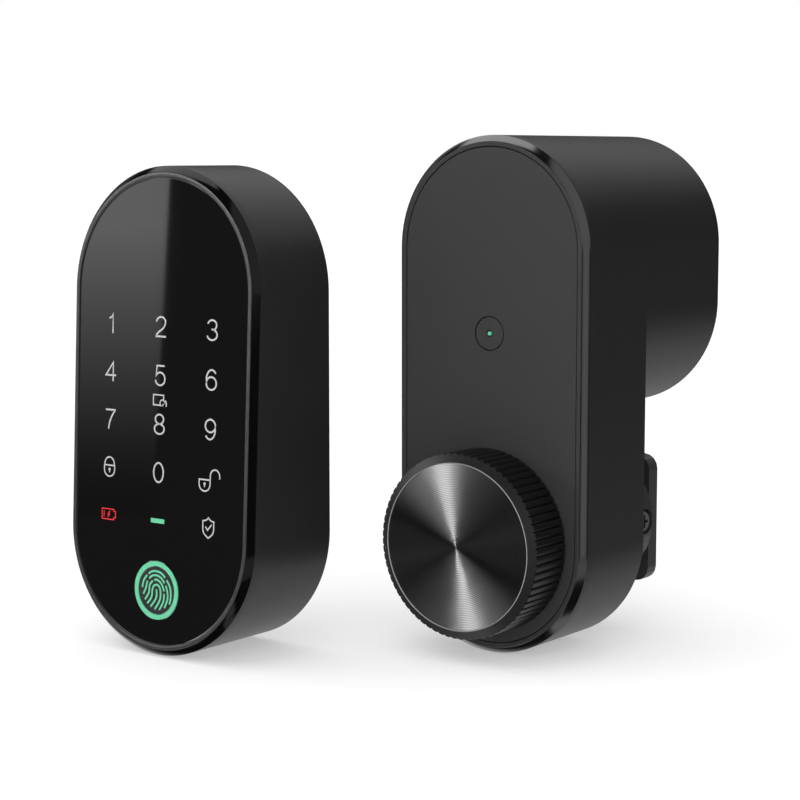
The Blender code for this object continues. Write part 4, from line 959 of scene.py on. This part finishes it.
def build_side_card():
    """Narrow lit card that only the drive unit's chamfer mirrors."""
    card, _, emission = lit_card("side_card", -SIDE_CARD_HALF, SIDE_CARD_HALF,
                                 SIDE_CARD_BOTTOM, SIDE_CARD_TOP)
    emission.inputs["Strength"].default_value = SIDE_CARD_RADIANCE
    low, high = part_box("drive_front_housing")
    way_x, way_y = SIDE_CARD_WAY
    card.location = (high.x + way_x * SIDE_CARD_REACH, low.y + way_y * SIDE_CARD_REACH, 0.0)
    card.rotation_euler = (0.0, 0.0, math.atan2(way_x, -way_y))


def build_lights():
    """Two soft, weak suns; the dome does the rest."""
    for name, energy, direction in SUNS:
        sun = bpy.data.lights.new(name, "SUN")
        sun.energy = energy
        sun.angle = math.radians(SUN_DEGREES)
        lamp = bpy.data.objects.new(name, sun)
        lamp.visible_glossy = False
        lamp.rotation_euler = Vector(direction).to_track_quat("-Z", "Y").to_euler()
        bpy.context.collection.objects.link(lamp)


def combine(tree, operation, first, second):
    """Result of a math node on two linked values; the first may be missing."""
    if first is None:
        return second
    node = tree.nodes.new("ShaderNodeMath")
    node.operation = operation
    tree.links.new(first, node.inputs[0])
    tree.links.new(second, node.inputs[1])
    return node.outputs["Value"]


def with_constant(tree, operation, value, constant):
    """Result of a math node on a linked value and a constant."""
    node = tree.nodes.new("ShaderNodeMath")
    node.operation = operation
    node.inputs[1].default_value = constant
    tree.links.new(value, node.inputs[0])
    return node.outputs["Value"]


def soft_step(tree, value, edge, rising, softness):
    """Smooth step of a value at an edge, up or down."""
    step = tree.nodes.new("ShaderNodeMapRange")
    step.interpolation_type = "SMOOTHSTEP"
    step.inputs["From Min"].default_value = edge - softness
    step.inputs["From Max"].default_value = edge + softness
    step.inputs["To Min"].default_value = 0.0 if rising else 1.0
    step.inputs["To Max"].default_value = 1.0 if rising else 0.0
    tree.links.new(value, step.inputs["Value"])
    return step.outputs["Result"]


def panel_light(tree, direction, level, limits, softness):
    """Light of one panel, from the parts of a direction."""
    shape = None
    for axis, (low, high) in zip("XYZ", limits):
        for edge, rising in ((low, True), (high, False)):
            if edge is not None:
                step = soft_step(tree, direction.outputs[axis], edge, rising, softness)
                shape = combine(tree, "MULTIPLY", shape, step)
    return with_constant(tree, "MULTIPLY", shape, level)


def mirrored_studio(tree, direction):
    """Background of panels for mirror reflections."""
    total = None
    for level, *limits, softness in STUDIO_PANELS:
        total = combine(tree, "ADD", total, panel_light(tree, direction, level, limits, softness))
    background = tree.nodes.new("ShaderNodeBackground")
    tree.links.new(with_constant(tree, "ADD", total, STUDIO_BASE), background.inputs["Strength"])
    return background


def even_dome(tree, direction):
    """Background for matte surfaces, a little brighter overhead."""
    height = tree.nodes.new("ShaderNodeMapRange")
    height.inputs["From Min"].default_value = DOME_LOW_Z
    height.inputs["From Max"].default_value = DOME_HIGH_Z
    height.inputs["To Min"].default_value = DOME_LOW
    height.inputs["To Max"].default_value = DOME_HIGH
    tree.links.new(direction.outputs["Z"], height.inputs["Value"])
    background = tree.nodes.new("ShaderNodeBackground")
    tree.links.new(height.outputs["Result"], background.inputs["Strength"])
    return background


def choose(tree, switch, otherwise, chosen):
    """Shader that is one of two, by a 0..1 switch."""
    mix = tree.nodes.new("ShaderNodeMixShader")
    tree.links.new(switch, mix.inputs["Fac"])
    tree.links.new(otherwise, mix.inputs[1])
    tree.links.new(chosen, mix.inputs[2])
    return mix.outputs["Shader"]


def build_world():
    """White to the eye, a set of soft panels to reflections, an even dome to matte surfaces."""
    world = bpy.data.worlds.new("studio")
    bpy.context.scene.world = world
    world.cycles.sampling_method = "NONE"
    world.use_nodes = True
    tree = world.node_tree
    tree.nodes.clear()
    coordinates = tree.nodes.new("ShaderNodeTexCoord")
    direction = tree.nodes.new("ShaderNodeSeparateXYZ")
    tree.links.new(coordinates.outputs["Generated"], direction.inputs["Vector"])
    panels = mirrored_studio(tree, direction)
    dome = even_dome(tree, direction)
    white = tree.nodes.new("ShaderNodeBackground")
    white.inputs["Color"].default_value = (1.0, 1.0, 1.0, 1.0)
    rays = tree.nodes.new("ShaderNodeLightPath")
    surroundings = choose(tree, rays.outputs["Is Glossy Ray"], dome.outputs["Background"],
                          panels.outputs["Background"])
    seen = choose(tree, rays.outputs["Is Camera Ray"], surroundings, white.outputs["Background"])
    output = tree.nodes.new("ShaderNodeOutputWorld")
    tree.links.new(seen, output.inputs["Surface"])


def build_camera():
    """Camera at the front right, looking slightly down at the object."""
    data = bpy.data.cameras.new("photo_camera")
    data.sensor_width = SENSOR_WIDTH
    data.lens = FOCAL_LENGTH
    data.clip_start = CAMERA_CLIP
    camera = bpy.data.objects.new("photo_camera", data)
    yaw = math.radians(CAMERA_AZIMUTH)
    down = math.radians(CAMERA_DOWN)
    forward = Vector((-math.sin(yaw) * math.cos(down), math.cos(yaw) * math.cos(down), -math.sin(down)))
    aim = (cad_low + cad_high) / 2 + Vector(CAMERA_AIM_SHIFT)
    camera.location = aim - forward * CAMERA_DISTANCE
    camera.rotation_euler = forward.to_track_quat("-Z", "Y").to_euler()
    bpy.context.collection.objects.link(camera)
    bpy.context.scene.camera = camera


dress_nodes()
build_drive_shell()
build_drive_rear_shell()
build_keypad_shell()
build_glass()
build_legends()
build_grip()
build_disc()
build_trim()
build_status_dot()
light_units_apart()
build_floor()
build_softbox()
build_side_card()
build_lights()
build_world()
build_camera()
bpy.context.scene.view_settings.view_transform = "Standard"
